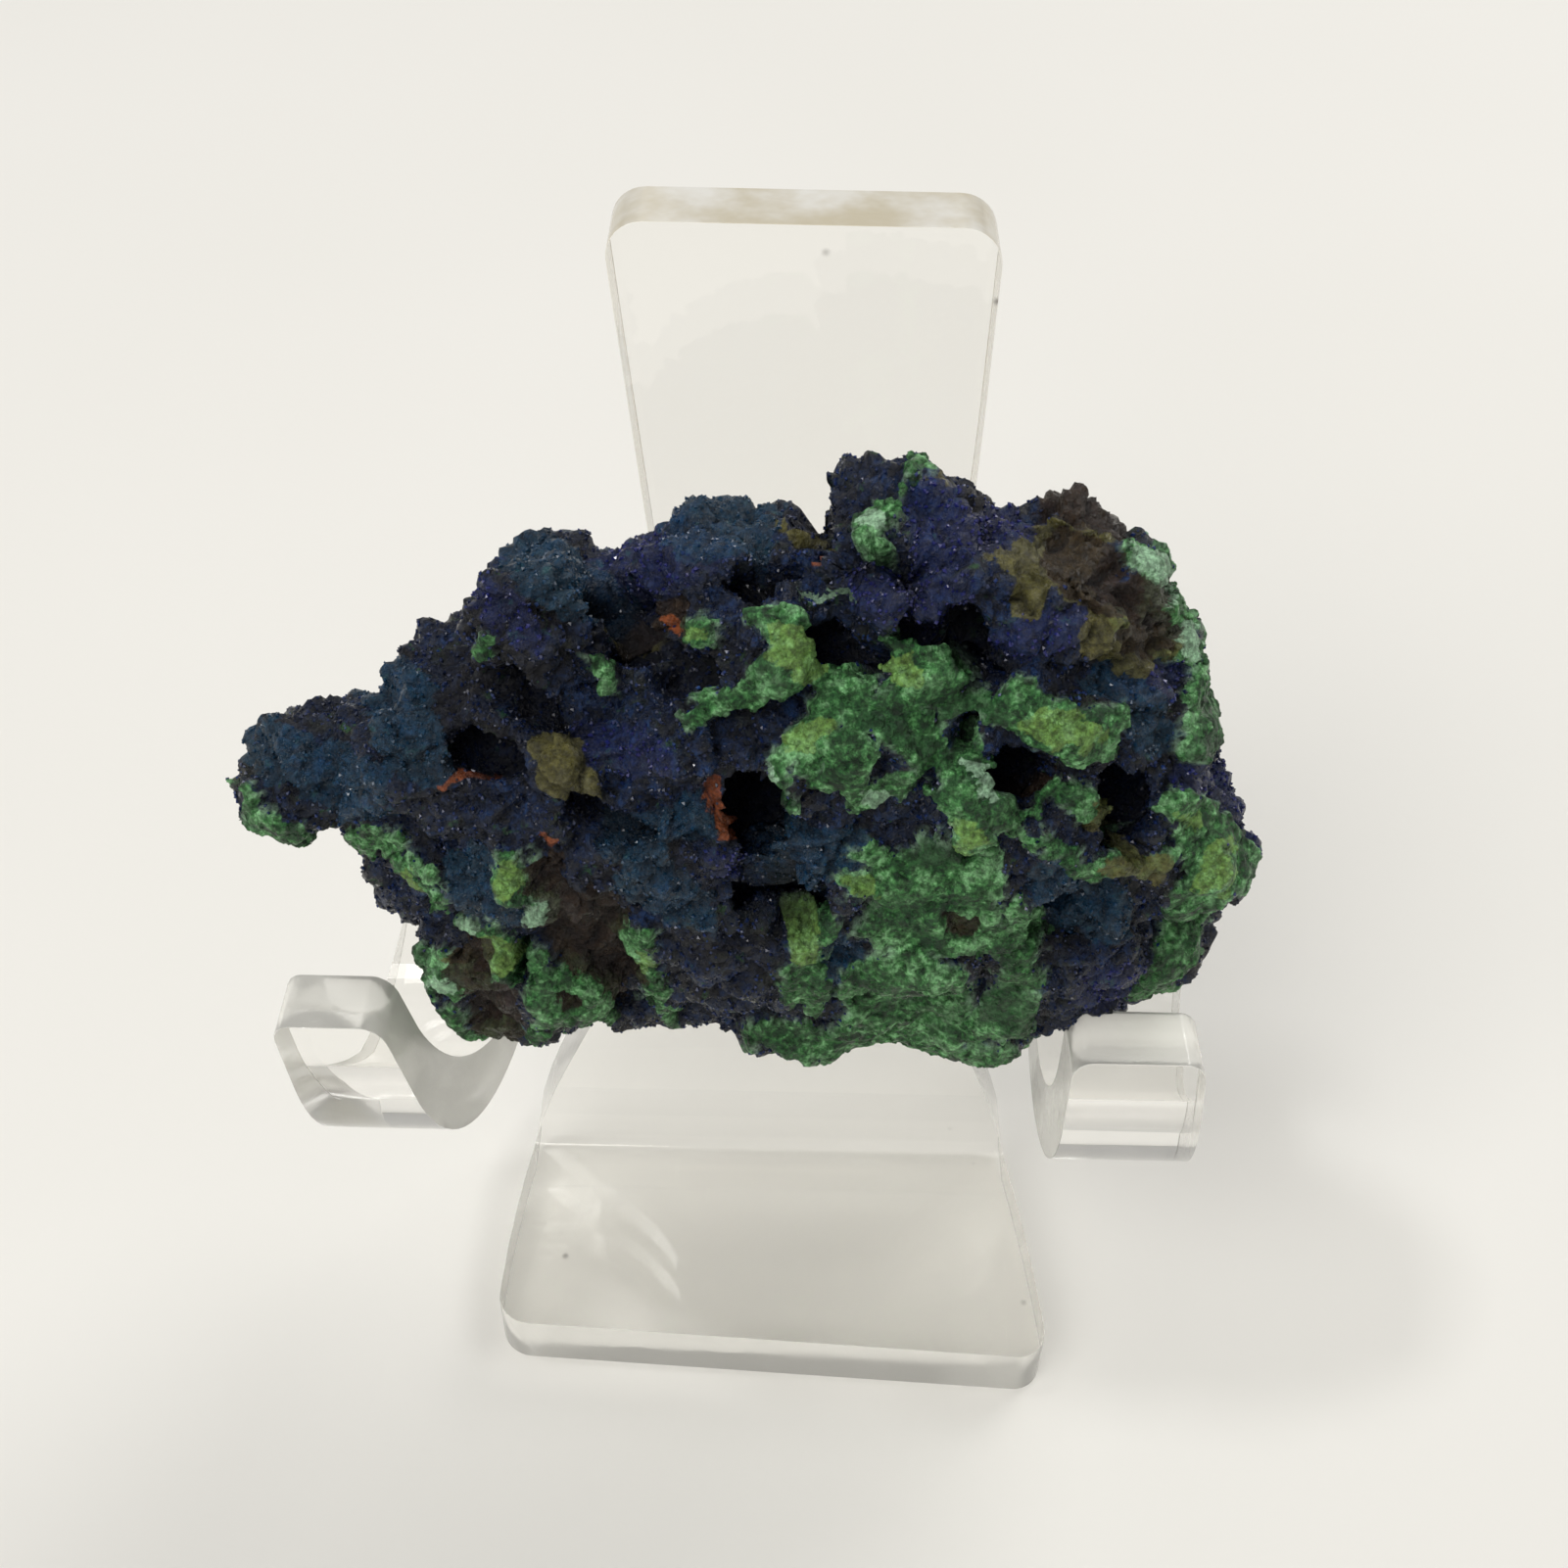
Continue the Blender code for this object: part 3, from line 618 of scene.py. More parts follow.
@dataclass(frozen=True)
class StoneFinish:
    """The stone's skin: navy azurite grit, mottled malachite crust, and stains.

    Attributes:
        azurite: Ramp of the dark blue mineral, deep to bright.
        malachite: Ramp of the green mineral, deep to bright.
        deep: Dark green in the malachite, and specks of it in the azurite.
        soot: Broad dull areas of the azurite.
        moss: Small greenish areas of the azurite.
        shadow: The colour of the painted shade that the cracks and hollows fade to.
        grit: Grit cells a millimetre.
        grit_height: Relief of the grit, in millimetres.
        dust_height: Relief of the finest roughness, in millimetres.
        violet_most: The most that the violet patches cover, and so on for the other minerals.
        broken: Share of the fine noise in a patch's edge.
        edge_from: Sum of patch and noise where a patch starts to show.
        edge_to: Sum where it shows fully.
        rim_share: How much paler a crust is along its rim.
        crack_shade_share: How strongly painted shade darkens the cracks and hollows.
    """

    azurite: Stops = (
        (0.28, (0.0025, 0.0035, 0.0080)),
        (0.45, (0.0055, 0.0130, 0.0400)),
        (0.58, (0.0080, 0.0300, 0.1000)),
        (0.76, (0.0220, 0.0800, 0.2600)),
    )
    malachite: Stops = (
        (0.05, (0.0060, 0.0360, 0.0110)),
        (0.32, (0.0260, 0.1150, 0.0300)),
        (0.60, (0.0700, 0.2300, 0.0700)),
        (0.92, (0.2200, 0.4900, 0.2200)),
    )
    deep: Color = (0.0180, 0.0700, 0.0230)
    soot: Color = (0.0085, 0.0080, 0.0095)
    violet: Color = (0.0100, 0.0220, 0.1200)
    moss: Color = (0.0200, 0.0240, 0.0130)
    teal: Color = (0.0100, 0.0550, 0.1050)
    pale: Color = (0.3900, 0.6200, 0.4200)
    yellow: Color = (0.2300, 0.3900, 0.0800)
    brown: Color = (0.0300, 0.0170, 0.0085)
    olive: Color = (0.1250, 0.1150, 0.0300)
    rust: Color = (0.3000, 0.0800, 0.0250)
    shadow: Color = (0.0025, 0.0030, 0.0060)
    grit: float = 2.6
    grit_height: float = 0.16
    dust_height: float = 0.34
    violet_most: float = 0.4
    teal_most: float = 0.55
    deep_most: float = 0.7
    yellow_most: float = 0.5
    pale_most: float = 0.7
    olive_most: float = 0.8
    brown_most: float = 0.9
    rust_most: float = 0.85
    broken: float = 1.5
    edge_from: float = 1.06
    edge_to: float = 1.4
    rim_share: float = 0.5
    crack_shade_share: float = 0.8

    def material(self) -> bpy.types.Material:
        """Builds the finish.

        Returns:
            The material.
        """
        g = Graph("Azurite and malachite skin")
        grit = g.cells(self.grit, "F1", "Color")
        speck = g.noise(2.4, detail=4.0, rough=0.6)
        crust = g.grade(g.math("ADD", g.attribute("malachite"), g.math("MULTIPLY", speck, 0.5)), 0.62, 0.86)
        skin = g.mix(crust, self.blue(g, grit, speck), self.green(g, speck))
        rim = g.math("MULTIPLY", g.attribute("rim"), g.grade(speck, 0.3, 0.55))
        skin = g.mix(g.math("MULTIPLY", rim, self.rim_share), skin, self.pale)
        for mineral, color, share in (
            (Mineral.PALE, self.pale, self.pale_most),
            (Mineral.OLIVE, self.olive, self.olive_most),
            (Mineral.BROWN, self.brown, self.brown_most),
            (Mineral.RUST, self.rust, self.rust_most),
        ):
            skin = g.mix(self.edge(g, mineral, speck, share), skin, color)
        grain = g.grade(g.noise(2.0, detail=5.0, rough=0.75), 0.34, 0.68)
        grain = g.math("ADD", g.math("MULTIPLY", grain, 1.15), 0.42)
        skin = g.mix(1.0, skin, self.gray(g, grain), "MULTIPLY")
        # Painted shade: cracks and hollows are darkened towards the shadow colour.
        skin = g.mix(g.math("MULTIPLY", g.attribute("painted_crack_shade"), self.crack_shade_share), skin, self.shadow)
        g.shade(Base_Color=skin, Specular_IOR_Level=0.4, IOR=1.5)
        g.shade(Roughness=g.math("ADD", g.math("MULTIPLY", crust, 0.2), g.math("MULTIPLY", grit, 0.5)))
        g.bump(g.cells(self.grit, "F1", "Distance"), distance=self.grit_height, strength=0.8)
        g.bump(g.noise(3.0, detail=5.0, rough=0.7), distance=self.dust_height, strength=0.95)
        return g.material

    def blue(self, g: Graph, grit: Any, speck: Any) -> Any:
        """Colours the azurite, with its dull and mossy areas and its violet and teal patches.

        Args:
            g: The material's graph.
            grit: A shade for each cell of the grit.
            speck: Fine noise that breaks the patches' edges.

        Returns:
            The colour's socket.
        """
        fine = g.noise(1.6, detail=6.0, rough=0.62, warp=0.4)
        coarse = g.noise(0.35, detail=3.0, rough=0.55)
        tone = g.math("ADD", g.math("MULTIPLY", fine, 0.62), g.math("MULTIPLY", grit, 0.22))
        tone = g.math("ADD", tone, g.math("MULTIPLY", g.math("SUBTRACT", coarse, 0.5), 0.5))
        blue = g.ramp(tone, self.azurite)
        blue = g.stain(blue, self.soot, 0.75, g.noise(0.16, detail=3.0, rough=0.6), 0.5, 0.66)
        blue = g.stain(blue, self.moss, 0.6, g.noise(0.5, detail=5.0, rough=0.65), 0.52, 0.64)
        blue = g.stain(blue, self.deep, 0.6, g.noise(1.0, detail=4.0, rough=0.6), 0.62, 0.7)
        blue = g.mix(self.edge(g, Mineral.VIOLET, speck, self.violet_most), blue, self.violet)
        return g.mix(self.edge(g, Mineral.TEAL, speck, self.teal_most), blue, self.teal)

    def green(self, g: Graph, speck: Any) -> Any:
        """Colours the malachite, mottled, with its dark and its yellowish patches.

        Args:
            g: The material's graph.
            speck: Fine noise that breaks the patches' edges.

        Returns:
            The colour's socket.
        """
        swirl = g.noise(1.9, detail=5.0, rough=0.65, warp=0.5)
        mottle = g.math("ADD", swirl, g.math("MULTIPLY", g.noise(0.45, detail=2.0), 0.7))
        mottle = g.math("ADD", mottle, g.math("MULTIPLY", g.cells(3.2, "F1", "Color"), 0.16))
        green = g.ramp(g.grade(mottle, 0.68, 1.2), self.malachite)
        green = g.stain(green, self.deep, 0.55, g.noise(0.6, detail=4.0, rough=0.6), 0.5, 0.66)
        green = g.mix(self.edge(g, Mineral.DEEP, speck, self.deep_most), green, self.deep)
        return g.mix(self.edge(g, Mineral.YELLOW, speck, self.yellow_most), green, self.yellow)

    @staticmethod
    def gray(g: Graph, value: Any) -> Any:
        """Makes a gray of a number.

        Args:
            g: The material's graph.
            value: The number.

        Returns:
            The gray's socket.
        """
        node = g.tree.nodes.new("ShaderNodeCombineColor")
        for socket in node.inputs[:3]:
            g.put(socket, value)
        return node.outputs["Color"]

    def edge(self, g: Graph, mineral: Mineral, speck: Any, share: float) -> Any:
        """Returns a patch's mask with a broken, grainy edge.

        Args:
            g: The material's graph.
            mineral: The patch's kind.
            speck: Fine noise that breaks the edge.
            share: The most that the patch covers.

        Returns:
            The mask, 0 to share.
        """
        raw = g.math("ADD", g.attribute(mineral.value), g.math("MULTIPLY", speck, self.broken))
        return g.math("MULTIPLY", g.grade(raw, self.edge_from, self.edge_to), share)


@dataclass(frozen=True)
class CrystalFinish:
    """Small glassy azurite crystals, each with its own depth of blue."""

    violet: Color = (0.0160, 0.0180, 0.1500)
    teal: Color = (0.0080, 0.0480, 0.0900)
    shadow: Color = (0.0020, 0.0025, 0.0050)
    stops: Stops = (
        (0.15, (0.0030, 0.0050, 0.0140)),
        (0.50, (0.0060, 0.0140, 0.0520)),
        (0.80, (0.0120, 0.0300, 0.1300)),
        (0.97, (0.0300, 0.0900, 0.2800)),
    )

    def material(self) -> bpy.types.Material:
        """Builds the finish.

        Returns:
            The material.
        """
        g = Graph("Azurite crystals")
        tone = g.math("ADD", g.math("MULTIPLY", g.cells(1.9, "F1", "Color"), 0.6), g.noise(0.5, detail=3.0))
        blue = g.ramp(g.math("SUBTRACT", tone, 0.3), self.stops)
        blue = g.mix(g.math("MULTIPLY", g.attribute("violet"), 0.7), blue, self.violet)
        blue = g.mix(g.math("MULTIPLY", g.attribute("teal"), 0.7), blue, self.teal)
        # Painted shade: crystals in the cracks and hollows are darkened towards the shadow colour.
        blue = g.mix(g.math("MULTIPLY", g.attribute("painted_crack_shade"), 0.8), blue, self.shadow)
        g.shade(Base_Color=blue, Specular_IOR_Level=0.5, IOR=1.5)
        g.shade(Roughness=g.math("ADD", g.math("MULTIPLY", g.cells(2.3, "F1", "Color"), 0.5), 0.04))
        return g.material


@dataclass(frozen=True)
class AcrylicFinish:
    """Clear cast acrylic with faint wear.

    Attributes:
        tint: Colour of light that has crossed it.
        ior: Index of refraction.
        dust: Colour of the specks of dust on it.
        dust_spacing: Specks a millimetre, in each direction.
        dust_size: Size of a speck, as a share of the way between specks.
        lamp_share: Share of lamp light that passes each face, which keeps its shadow pale.
    """

    tint: Color = (0.99, 0.985, 0.965)
    ior: float = 1.49
    dust: Color = (0.12, 0.11, 0.10)
    dust_spacing: float = 0.13
    dust_size: float = 0.05
    lamp_share: float = 0.58

    def material(self) -> bpy.types.Material:
        """Builds the finish.

        Returns:
            The material.
        """
        g = Graph("Clear acrylic")
        dust = g.grade(g.cells(self.dust_spacing), self.dust_size, 0.0)
        g.shade(Base_Color=g.mix(dust, self.tint, self.dust), Transmission_Weight=1.0, IOR=self.ior)
        wear = g.grade(g.noise(0.5, detail=6.0, rough=0.7), 0.45, 0.8)
        g.shade(Roughness=g.math("MULTIPLY", wear, 0.04))
        g.bump(g.noise(0.12, detail=2.0), distance=0.05, strength=0.5)
        g.pass_lamps(self.lamp_share)
        return g.material


@dataclass(frozen=True)
class SawnFinish:
    """The acrylic's sawn and polished edges, with a painted reflection of warm beige surroundings at the top
    of the plate, and clearer below.

    Attributes:
        reflected_beige: The beige of the painted reflection, in streaks.
        clear: The tint of the clear streaks.
        reflection_from: Height in millimetres where the painted reflection starts to show on the edges.
        reflection_full: Height in millimetres where it shows the most.
        most_clear: Share of light that passes the low edges.
        reflection_cover: How much less of it passes the top edge, so that the painted reflection shows.
        ior: Index of refraction.
        lamp_share: Share of lamp light that passes each edge.
    """

    reflected_beige: Color = (0.72, 0.65, 0.49)
    clear: Color = (0.98, 0.97, 0.92)
    reflection_from: float = 40.0
    reflection_full: float = 60.0
    most_clear: float = 0.55
    reflection_cover: float = 0.25
    ior: float = 1.49
    lamp_share: float = 0.5

    def material(self) -> bpy.types.Material:
        """Builds the finish.

        Returns:
            The material.
        """
        g = Graph("Sawn acrylic edge")
        streak = g.grade(g.noise(0.16, detail=4.0, rough=0.6), 0.35, 0.7)
        # Painted reflection: the top edges are tinted beige, as if they showed the warm surroundings.
        reflection_share = g.grade(g.height(), self.reflection_from, self.reflection_full)
        clearness = g.math("SUBTRACT", self.most_clear, g.math("MULTIPLY", reflection_share, self.reflection_cover))
        color = g.mix(reflection_share, self.clear, g.mix(streak, self.reflected_beige, self.clear))
        g.shade(Base_Color=color, Transmission_Weight=clearness, IOR=self.ior)
        g.shade(Roughness=g.math("ADD", g.math("MULTIPLY", streak, 0.12), 0.1))
        g.bump(g.noise(1.5, detail=3.0), distance=0.03, strength=0.6)
        g.pass_lamps(self.lamp_share)
        return g.material


@dataclass(frozen=True)
class TableFinish:
    """A pale matt table."""

    light: Color = (0.80, 0.79, 0.76)
    dark: Color = (0.74, 0.73, 0.69)

    def material(self) -> bpy.types.Material:
        """Builds the finish.

        Returns:
            The material.
        """
        g = Graph("Pale table")
        g.shade(Base_Color=g.mix(g.noise(0.01, detail=2.0), self.light, self.dark), Roughness=0.6)
        g.shade(Specular_IOR_Level=0.2)
        g.bump(g.noise(1.2, detail=4.0, rough=0.6), distance=0.03, strength=0.3)
        return g.material


def plain_mesh(source: bpy.types.Object, name: str) -> bpy.types.Object:
    """Turns an object with live modifiers into a plain mesh of the same place, and removes the source.

    Args:
        source: The object.
        name: The new object's name.

    Returns:
        The new object, at the origin.
    """
    bpy.context.view_layer.update()
    graph = bpy.context.evaluated_depsgraph_get()
    mesh = bpy.data.meshes.new_from_object(source.evaluated_get(graph))
    bpy.data.objects.remove(source, do_unlink=True)
    mesh.name = name
    made = bpy.data.objects.new(name, mesh)
    bpy.context.scene.collection.objects.link(made)
    return made


@dataclass
class Stone:
    """The azurite and malachite mass itself.

    Attributes:
        plate: The frame that patches are placed in.
        node: The solid that it refines.
        easel: What it keeps clear of.
        voxel: Spacing of its mesh. This and the sizes below are in millimetres.
        clearance: Gap kept to the easel.
        reach: The furthest that any point may move out.
        crag_size: Width of the larger lumps, and crag_height is how far they stand out.
        ridge_size: Spacing of the ridges that run over them.
        knob_size: Width of the small knobs on the azurite.
        crust_height: How far a malachite crust stands out.
        bead_size: Width of the round beads in the crust.
        hollow_depth: Depth of the hollows.
        sway_size: Width of the broad wander of every edge, and sway is how far it goes.
        fray_size: Width of the fine wander, and fray is how far it goes.
        grain_height: Height of the finest relief.
        patchy_size: Width of the crusts on the back.
    """

    plate: Plate
    node: bpy.types.Object
    easel: bpy.types.Object
    voxel: float = 0.3
    clearance: float = 0.2
    reach: float = 3.0
    crag_size: float = 3.1
    crag_height: float = 0.8
    ridge_size: float = 5.0
    ridge_height: float = 0.8
    knob_size: float = 1.2
    knob_height: float = 0.5
    crust_height: float = 0.45
    bead_size: float = 1.1
    bead_height: float = 0.4
    hollow_depth: float = 2.6
    sway_size: float = 2.2
    sway: float = 0.7
    fray_size: float = 0.7
    fray: float = 0.5
    grain_height: float = 0.12
    patchy_size: float = 6.0

    def base(self) -> bpy.types.Object:
        """Remeshes the solid finely and evenly.

        Returns:
            The smoothed mesh, before any relief.
        """
        mesh = self.node.data.copy()
        bm = bmesh.new()
        bm.from_mesh(mesh)
        bmesh.ops.remove_doubles(bm, verts=bm.verts, dist=1e-6)
        bm.to_mesh(mesh)
        bm.free()
        mesh.materials.clear()
        stone = bpy.data.objects.new("stone_base", mesh)
        bpy.context.scene.collection.objects.link(stone)
        remesh = stone.modifiers.new("Even grid", "REMESH")
        remesh.mode = "VOXEL"
        remesh.voxel_size = self.voxel * MM
        soften = stone.modifiers.new("Facets away", "SMOOTH")
        soften.iterations = 5
        return plain_mesh(stone, "azurite_stone")

    def masks(self, where: np.ndarray, warp: np.ndarray) -> dict[Mineral, np.ndarray]:
        """Grades every mineral over the skin.

        Args:
            where: Points as (across, up, out) in millimetres.
            warp: Shifts across and up in millimetres, and a change of nearness, that break the edges.

        Returns:
            For each mineral, 0 to 1 at each point.
        """
        flat = self.plate.on_sheet(where) + warp[:, :2]
        facing = smooth_step(1.0, 4.0, where[:, 2])
        found = {mineral: np.zeros(len(where)) for mineral in Mineral}
        for mineral, patches in PATCHES.items():
            for patch in patches:
                inside = smooth_step(1.25, 0.8, patch.nearness(flat) + warp[:, 2]) * facing
                found[mineral] = np.maximum(found[mineral], inside)
        return found

    def back_crusts(self, where: np.ndarray, fray: np.ndarray) -> np.ndarray:
        """Spreads malachite over the back, where the photograph shows nothing.

        Args:
            where: Points as (across, up, out) in millimetres.
            fray: Fine noise that breaks the crusts' edges.

        Returns:
            How much malachite each point has, 0 to 1.
        """
        elsewhere = Vector((9.0, 3.0, 7.0))
        patchy = np.array([noise.noise(Vector(p) / self.patchy_size + elsewhere) for p in where])
        return smooth_step(4.0, 0.5, where[:, 2]) * smooth_step(0.18, 0.32, patchy + fray * 0.1)

    @staticmethod
    def vectors(mesh: bpy.types.Mesh, kind: str) -> np.ndarray:
        """Reads a vector of every vertex.

        Args:
            mesh: The mesh.
            kind: "co" for their places or "normal" for their normals.

        Returns:
            One row for each vertex.
        """
        values = np.zeros(len(mesh.vertices) * 3)
        mesh.vertices.foreach_get(kind, values)
        return values.reshape(-1, 3)

    def build(self) -> bpy.types.Object:
        """Shapes the skin and stores its minerals.

        Returns:
            The stone.
        """
        stone = self.base()
        mesh = stone.data
        points, normals = self.vectors(mesh, "co"), self.vectors(mesh, "normal")
        where = self.plate.from_world(points)
        broad = self.drift(where, self.sway_size)
        small = self.drift(where, self.fray_size)
        bent = where + broad
        bead = self.domes(bent + 20.0, self.bead_size)
        warp = broad * self.sway + small * self.fray
        warp[:, 2] = 0.12 - bead * 0.45
        found = self.masks(where, warp)
        green = np.maximum(found[Mineral.MALACHITE], self.back_crusts(where, small[:, 0]))
        found[Mineral.MALACHITE] = green
        crag = self.cracks(bent, self.crag_size, 2.0)
        ridges = np.array(
            [noise.ridged_multi_fractal(Vector(p) / self.ridge_size, 1.0, 2.1, 4, 1.0, 2.0) for p in where]
        )
        knob = self.cracks(bent + 50.0, self.knob_size, 2.0)
        height = (crag - 0.55) * self.crag_height * (1.0 - 0.6 * green)
        height += (knob - 0.5) * self.knob_height * (1.0 - green)
        height += np.clip(ridges - np.median(ridges), -1.0, 1.0) * self.ridge_height * (1.0 - 0.5 * green)
        height += green * (self.crust_height + (bead - 0.4) * self.bead_height)
        height -= (found[Mineral.HOLLOW] + 0.25 * found[Mineral.BROWN]) * self.hollow_depth
        height += small[:, 2] * self.grain_height
        height = np.minimum(height, self.room(points))
        moved = points + normals * height[:, None] * MM
        mesh.vertices.foreach_set("co", moved.ravel())
        # Painted shade mask: cracks between the lumps and the hollows, which the finishes darken.
        gaps = smooth_step(0.4, 0.05, crag) * 0.6 + smooth_step(0.3, 0.05, knob) * 0.35
        painted_crack_shade = np.clip(gaps * (1.0 - green) + found[Mineral.HOLLOW] * 0.8, 0.0, 1.0)
        rim = smooth_step(0.05, 0.45, green) * smooth_step(0.95, 0.55, green)
        stored = {mineral.value: values for mineral, values in found.items()}
        stored["painted_crack_shade"] = painted_crack_shade
        stored["rim"] = rim
        bare = np.maximum.reduce([found[kind] for kind in (Mineral.BROWN, Mineral.OLIVE, Mineral.RUST)])
        stored["druse"] = np.clip(1.0 - green * 1.6, 0.0, 1.0) * (1.0 - bare)
        for name, values in stored.items():
            layer = mesh.attributes.new(name, "FLOAT", "POINT")
            layer.data.foreach_set("value", values.astype(np.float32))
        mesh.shade_smooth()
        mesh.materials.append(StoneFinish().material())
        mesh.update()
        return stone

    @staticmethod
    def drift(points: np.ndarray, size: float) -> np.ndarray:
        """Returns three smooth noises at each point, -1 to 1, from three places in the same field."""
        # Blender's own noise_vector isn't used, because it gives other values at each start
        shifts = [Vector(shift) for shift in ((9.3, -1.5, -8.0), (0.0, 0.0, 0.0), (7.8, -4.2, 5.6))]
        return np.array([[noise.noise(Vector(p) / size + shift) for shift in shifts] for p in points])

    @staticmethod
    def cracks(points: np.ndarray, size: float, sharp: float) -> np.ndarray:
        """Returns 0 in cracks between lumps and 1 on the lumps.

        Args:
            points: Where, in millimetres.
            size: Width of a lump, in millimetres.
            sharp: How steep the lumps' sides are.

        Returns:
            The heights.
        """
        distances = [noise.voronoi(Vector(p) / size)[0] for p in points]
        gaps = np.array([second - first for first, second, *_ in distances])
        return np.clip(gaps * sharp, 0.0, 1.0) ** 0.7

    @staticmethod
    def domes(points: np.ndarray, size: float) -> np.ndarray:
        """Returns round domes, 1 on top and 0 between them, for points and a width in millimetres."""
        near = np.array([noise.voronoi(Vector(p) / size)[0][0] for p in points])
        return 1.0 - np.clip(near, 0.0, 1.0) ** 2

    def room(self, points: np.ndarray) -> np.ndarray:
        """Measures how far the skin may move out before it comes near the easel.

        Args:
            points: Points in the world, in metres.

        Returns:
            The room at each point, in millimetres.
        """
        mesh = self.easel.data
        tree = BVHTree.FromPolygons([v.co for v in mesh.vertices], [p.vertices for p in mesh.polygons])
        gaps = [tree.find_nearest(Vector(p), self.reach * MM)[3] for p in points]
        return np.array([self.reach if gap is None else gap * PER_MM - self.clearance for gap in gaps])


class Scatter:
    """Grows many small copies of one form on the stone by Geometry Nodes."""

    def __init__(self, name: str, form: bpy.types.Object, finish: bpy.types.Material) -> None:
        """Builds the node tree.

        Args:
            name: The tree's name.
            form: The small form, in millimetres, standing on its local XY plane.
            finish: Its material.
        """
        self.name = name
        self.form = form
        self.finish = finish
        self.tree = bpy.data.node_groups.new(name, "GeometryNodeTree")
        self.sockets: dict[str, str] = {}
        self.write()

    def socket(self, name: str, kind: str) -> None:
        """Adds a named input."""
        made = self.tree.interface.new_socket(name, in_out="INPUT", socket_type=kind)
        self.sockets[name] = made.identifier

    def write(self) -> None:
        """Writes the tree's nodes and links."""
        tree = self.tree
        self.socket("Ground", "NodeSocketGeometry")
        self.socket("Form", "NodeSocketObject")
        self.socket("Density", "NodeSocketFloat")
        self.socket("Where", "NodeSocketString")
        self.socket("Smallest", "NodeSocketFloat")
        self.socket("Largest", "NodeSocketFloat")
        self.socket("Wildness", "NodeSocketFloat")
        self.socket("Seed", "NodeSocketInt")
        self.socket("Finish", "NodeSocketMaterial")
        tree.interface.new_socket("Grown", in_out="OUTPUT", socket_type="NodeSocketGeometry")
        new, link = tree.nodes.new, tree.links.new
        given, out = new("NodeGroupInput"), new("NodeGroupOutput")
        mask = new("GeometryNodeInputNamedAttribute")
        mask.data_type = "FLOAT"
        link(given.outputs["Where"], mask.inputs["Name"])
        dense = new("ShaderNodeMath")
        dense.operation = "MULTIPLY"
        link(mask.outputs["Attribute"], dense.inputs[0])
        link(given.outputs["Density"], dense.inputs[1])
        spread = new("GeometryNodeDistributePointsOnFaces")
        link(given.outputs["Ground"], spread.inputs["Mesh"])
        link(dense.outputs[0], spread.inputs["Density"])
        link(given.outputs["Seed"], spread.inputs["Seed"])
        wild = new("FunctionNodeRandomValue")
        wild.data_type = "FLOAT_VECTOR"
        wild.inputs["Min"].default_value = (-1.0, -1.0, -1.0)
        wild.inputs["Max"].default_value = (1.0, 1.0, 1.0)
        link(given.outputs["Seed"], wild.inputs["Seed"])
        scaled = new("ShaderNodeVectorMath")
        scaled.operation = "SCALE"
        link(wild.outputs["Value"], scaled.inputs[0])
        link(given.outputs["Wildness"], scaled.inputs["Scale"])
        tilted = new("ShaderNodeVectorMath")
        tilted.operation = "ADD"
        link(spread.outputs["Normal"], tilted.inputs[0])
        link(scaled.outputs[0], tilted.inputs[1])
        stand = new("FunctionNodeAlignRotationToVector")
        stand.axis = "Z"
        link(tilted.outputs[0], stand.inputs["Vector"])
        spin = new("FunctionNodeRandomValue")
        spin.data_type = "FLOAT"
        spin.inputs[3].default_value = 2 * math.pi
        turn = new("FunctionNodeAxisAngleToRotation")
        turn.inputs["Axis"].default_value = (0.0, 0.0, 1.0)
        link(spin.outputs[1], turn.inputs["Angle"])
        both = new("FunctionNodeRotateRotation")
        both.rotation_space = "LOCAL"
        link(stand.outputs["Rotation"], both.inputs["Rotation"])
        link(turn.outputs["Rotation"], both.inputs["Rotate By"])
        size = new("FunctionNodeRandomValue")
        size.data_type = "FLOAT"
        link(given.outputs["Smallest"], size.inputs[2])
        link(given.outputs["Largest"], size.inputs[3])
        form = new("GeometryNodeObjectInfo")
        link(given.outputs["Form"], form.inputs["Object"])
        copies = new("GeometryNodeInstanceOnPoints")
        link(spread.outputs["Points"], copies.inputs["Points"])
        link(form.outputs["Geometry"], copies.inputs["Instance"])
        link(both.outputs["Rotation"], copies.inputs["Rotation"])
        link(size.outputs[1], copies.inputs["Scale"])
        real = new("GeometryNodeRealizeInstances")
        link(copies.outputs["Instances"], real.inputs["Geometry"])
        dress = new("GeometryNodeSetMaterial")
        link(real.outputs["Geometry"], dress.inputs["Geometry"])
        link(given.outputs["Finish"], dress.inputs["Material"])
        link(dress.outputs["Geometry"], out.inputs[0])

    def grow(self, ground: bpy.types.Object, piece: str, **values: Any) -> bpy.types.Object:
        """Grows the forms on a mesh.

        Args:
            ground: The mesh.
            piece: Name of the piece that is made.
            **values: The tree's inputs, by name.

        Returns:
            The forms as one plain mesh.
        """
        host = bpy.data.objects.new(piece + "_host", ground.data)
        bpy.context.scene.collection.objects.link(host)
        grown = host.modifiers.new(self.name, "NODES")
        grown.node_group = self.tree
        for name, value in {"Form": self.form, "Finish": self.finish, **values}.items():
            grown[self.sockets[name]] = value
        return plain_mesh(host, piece)


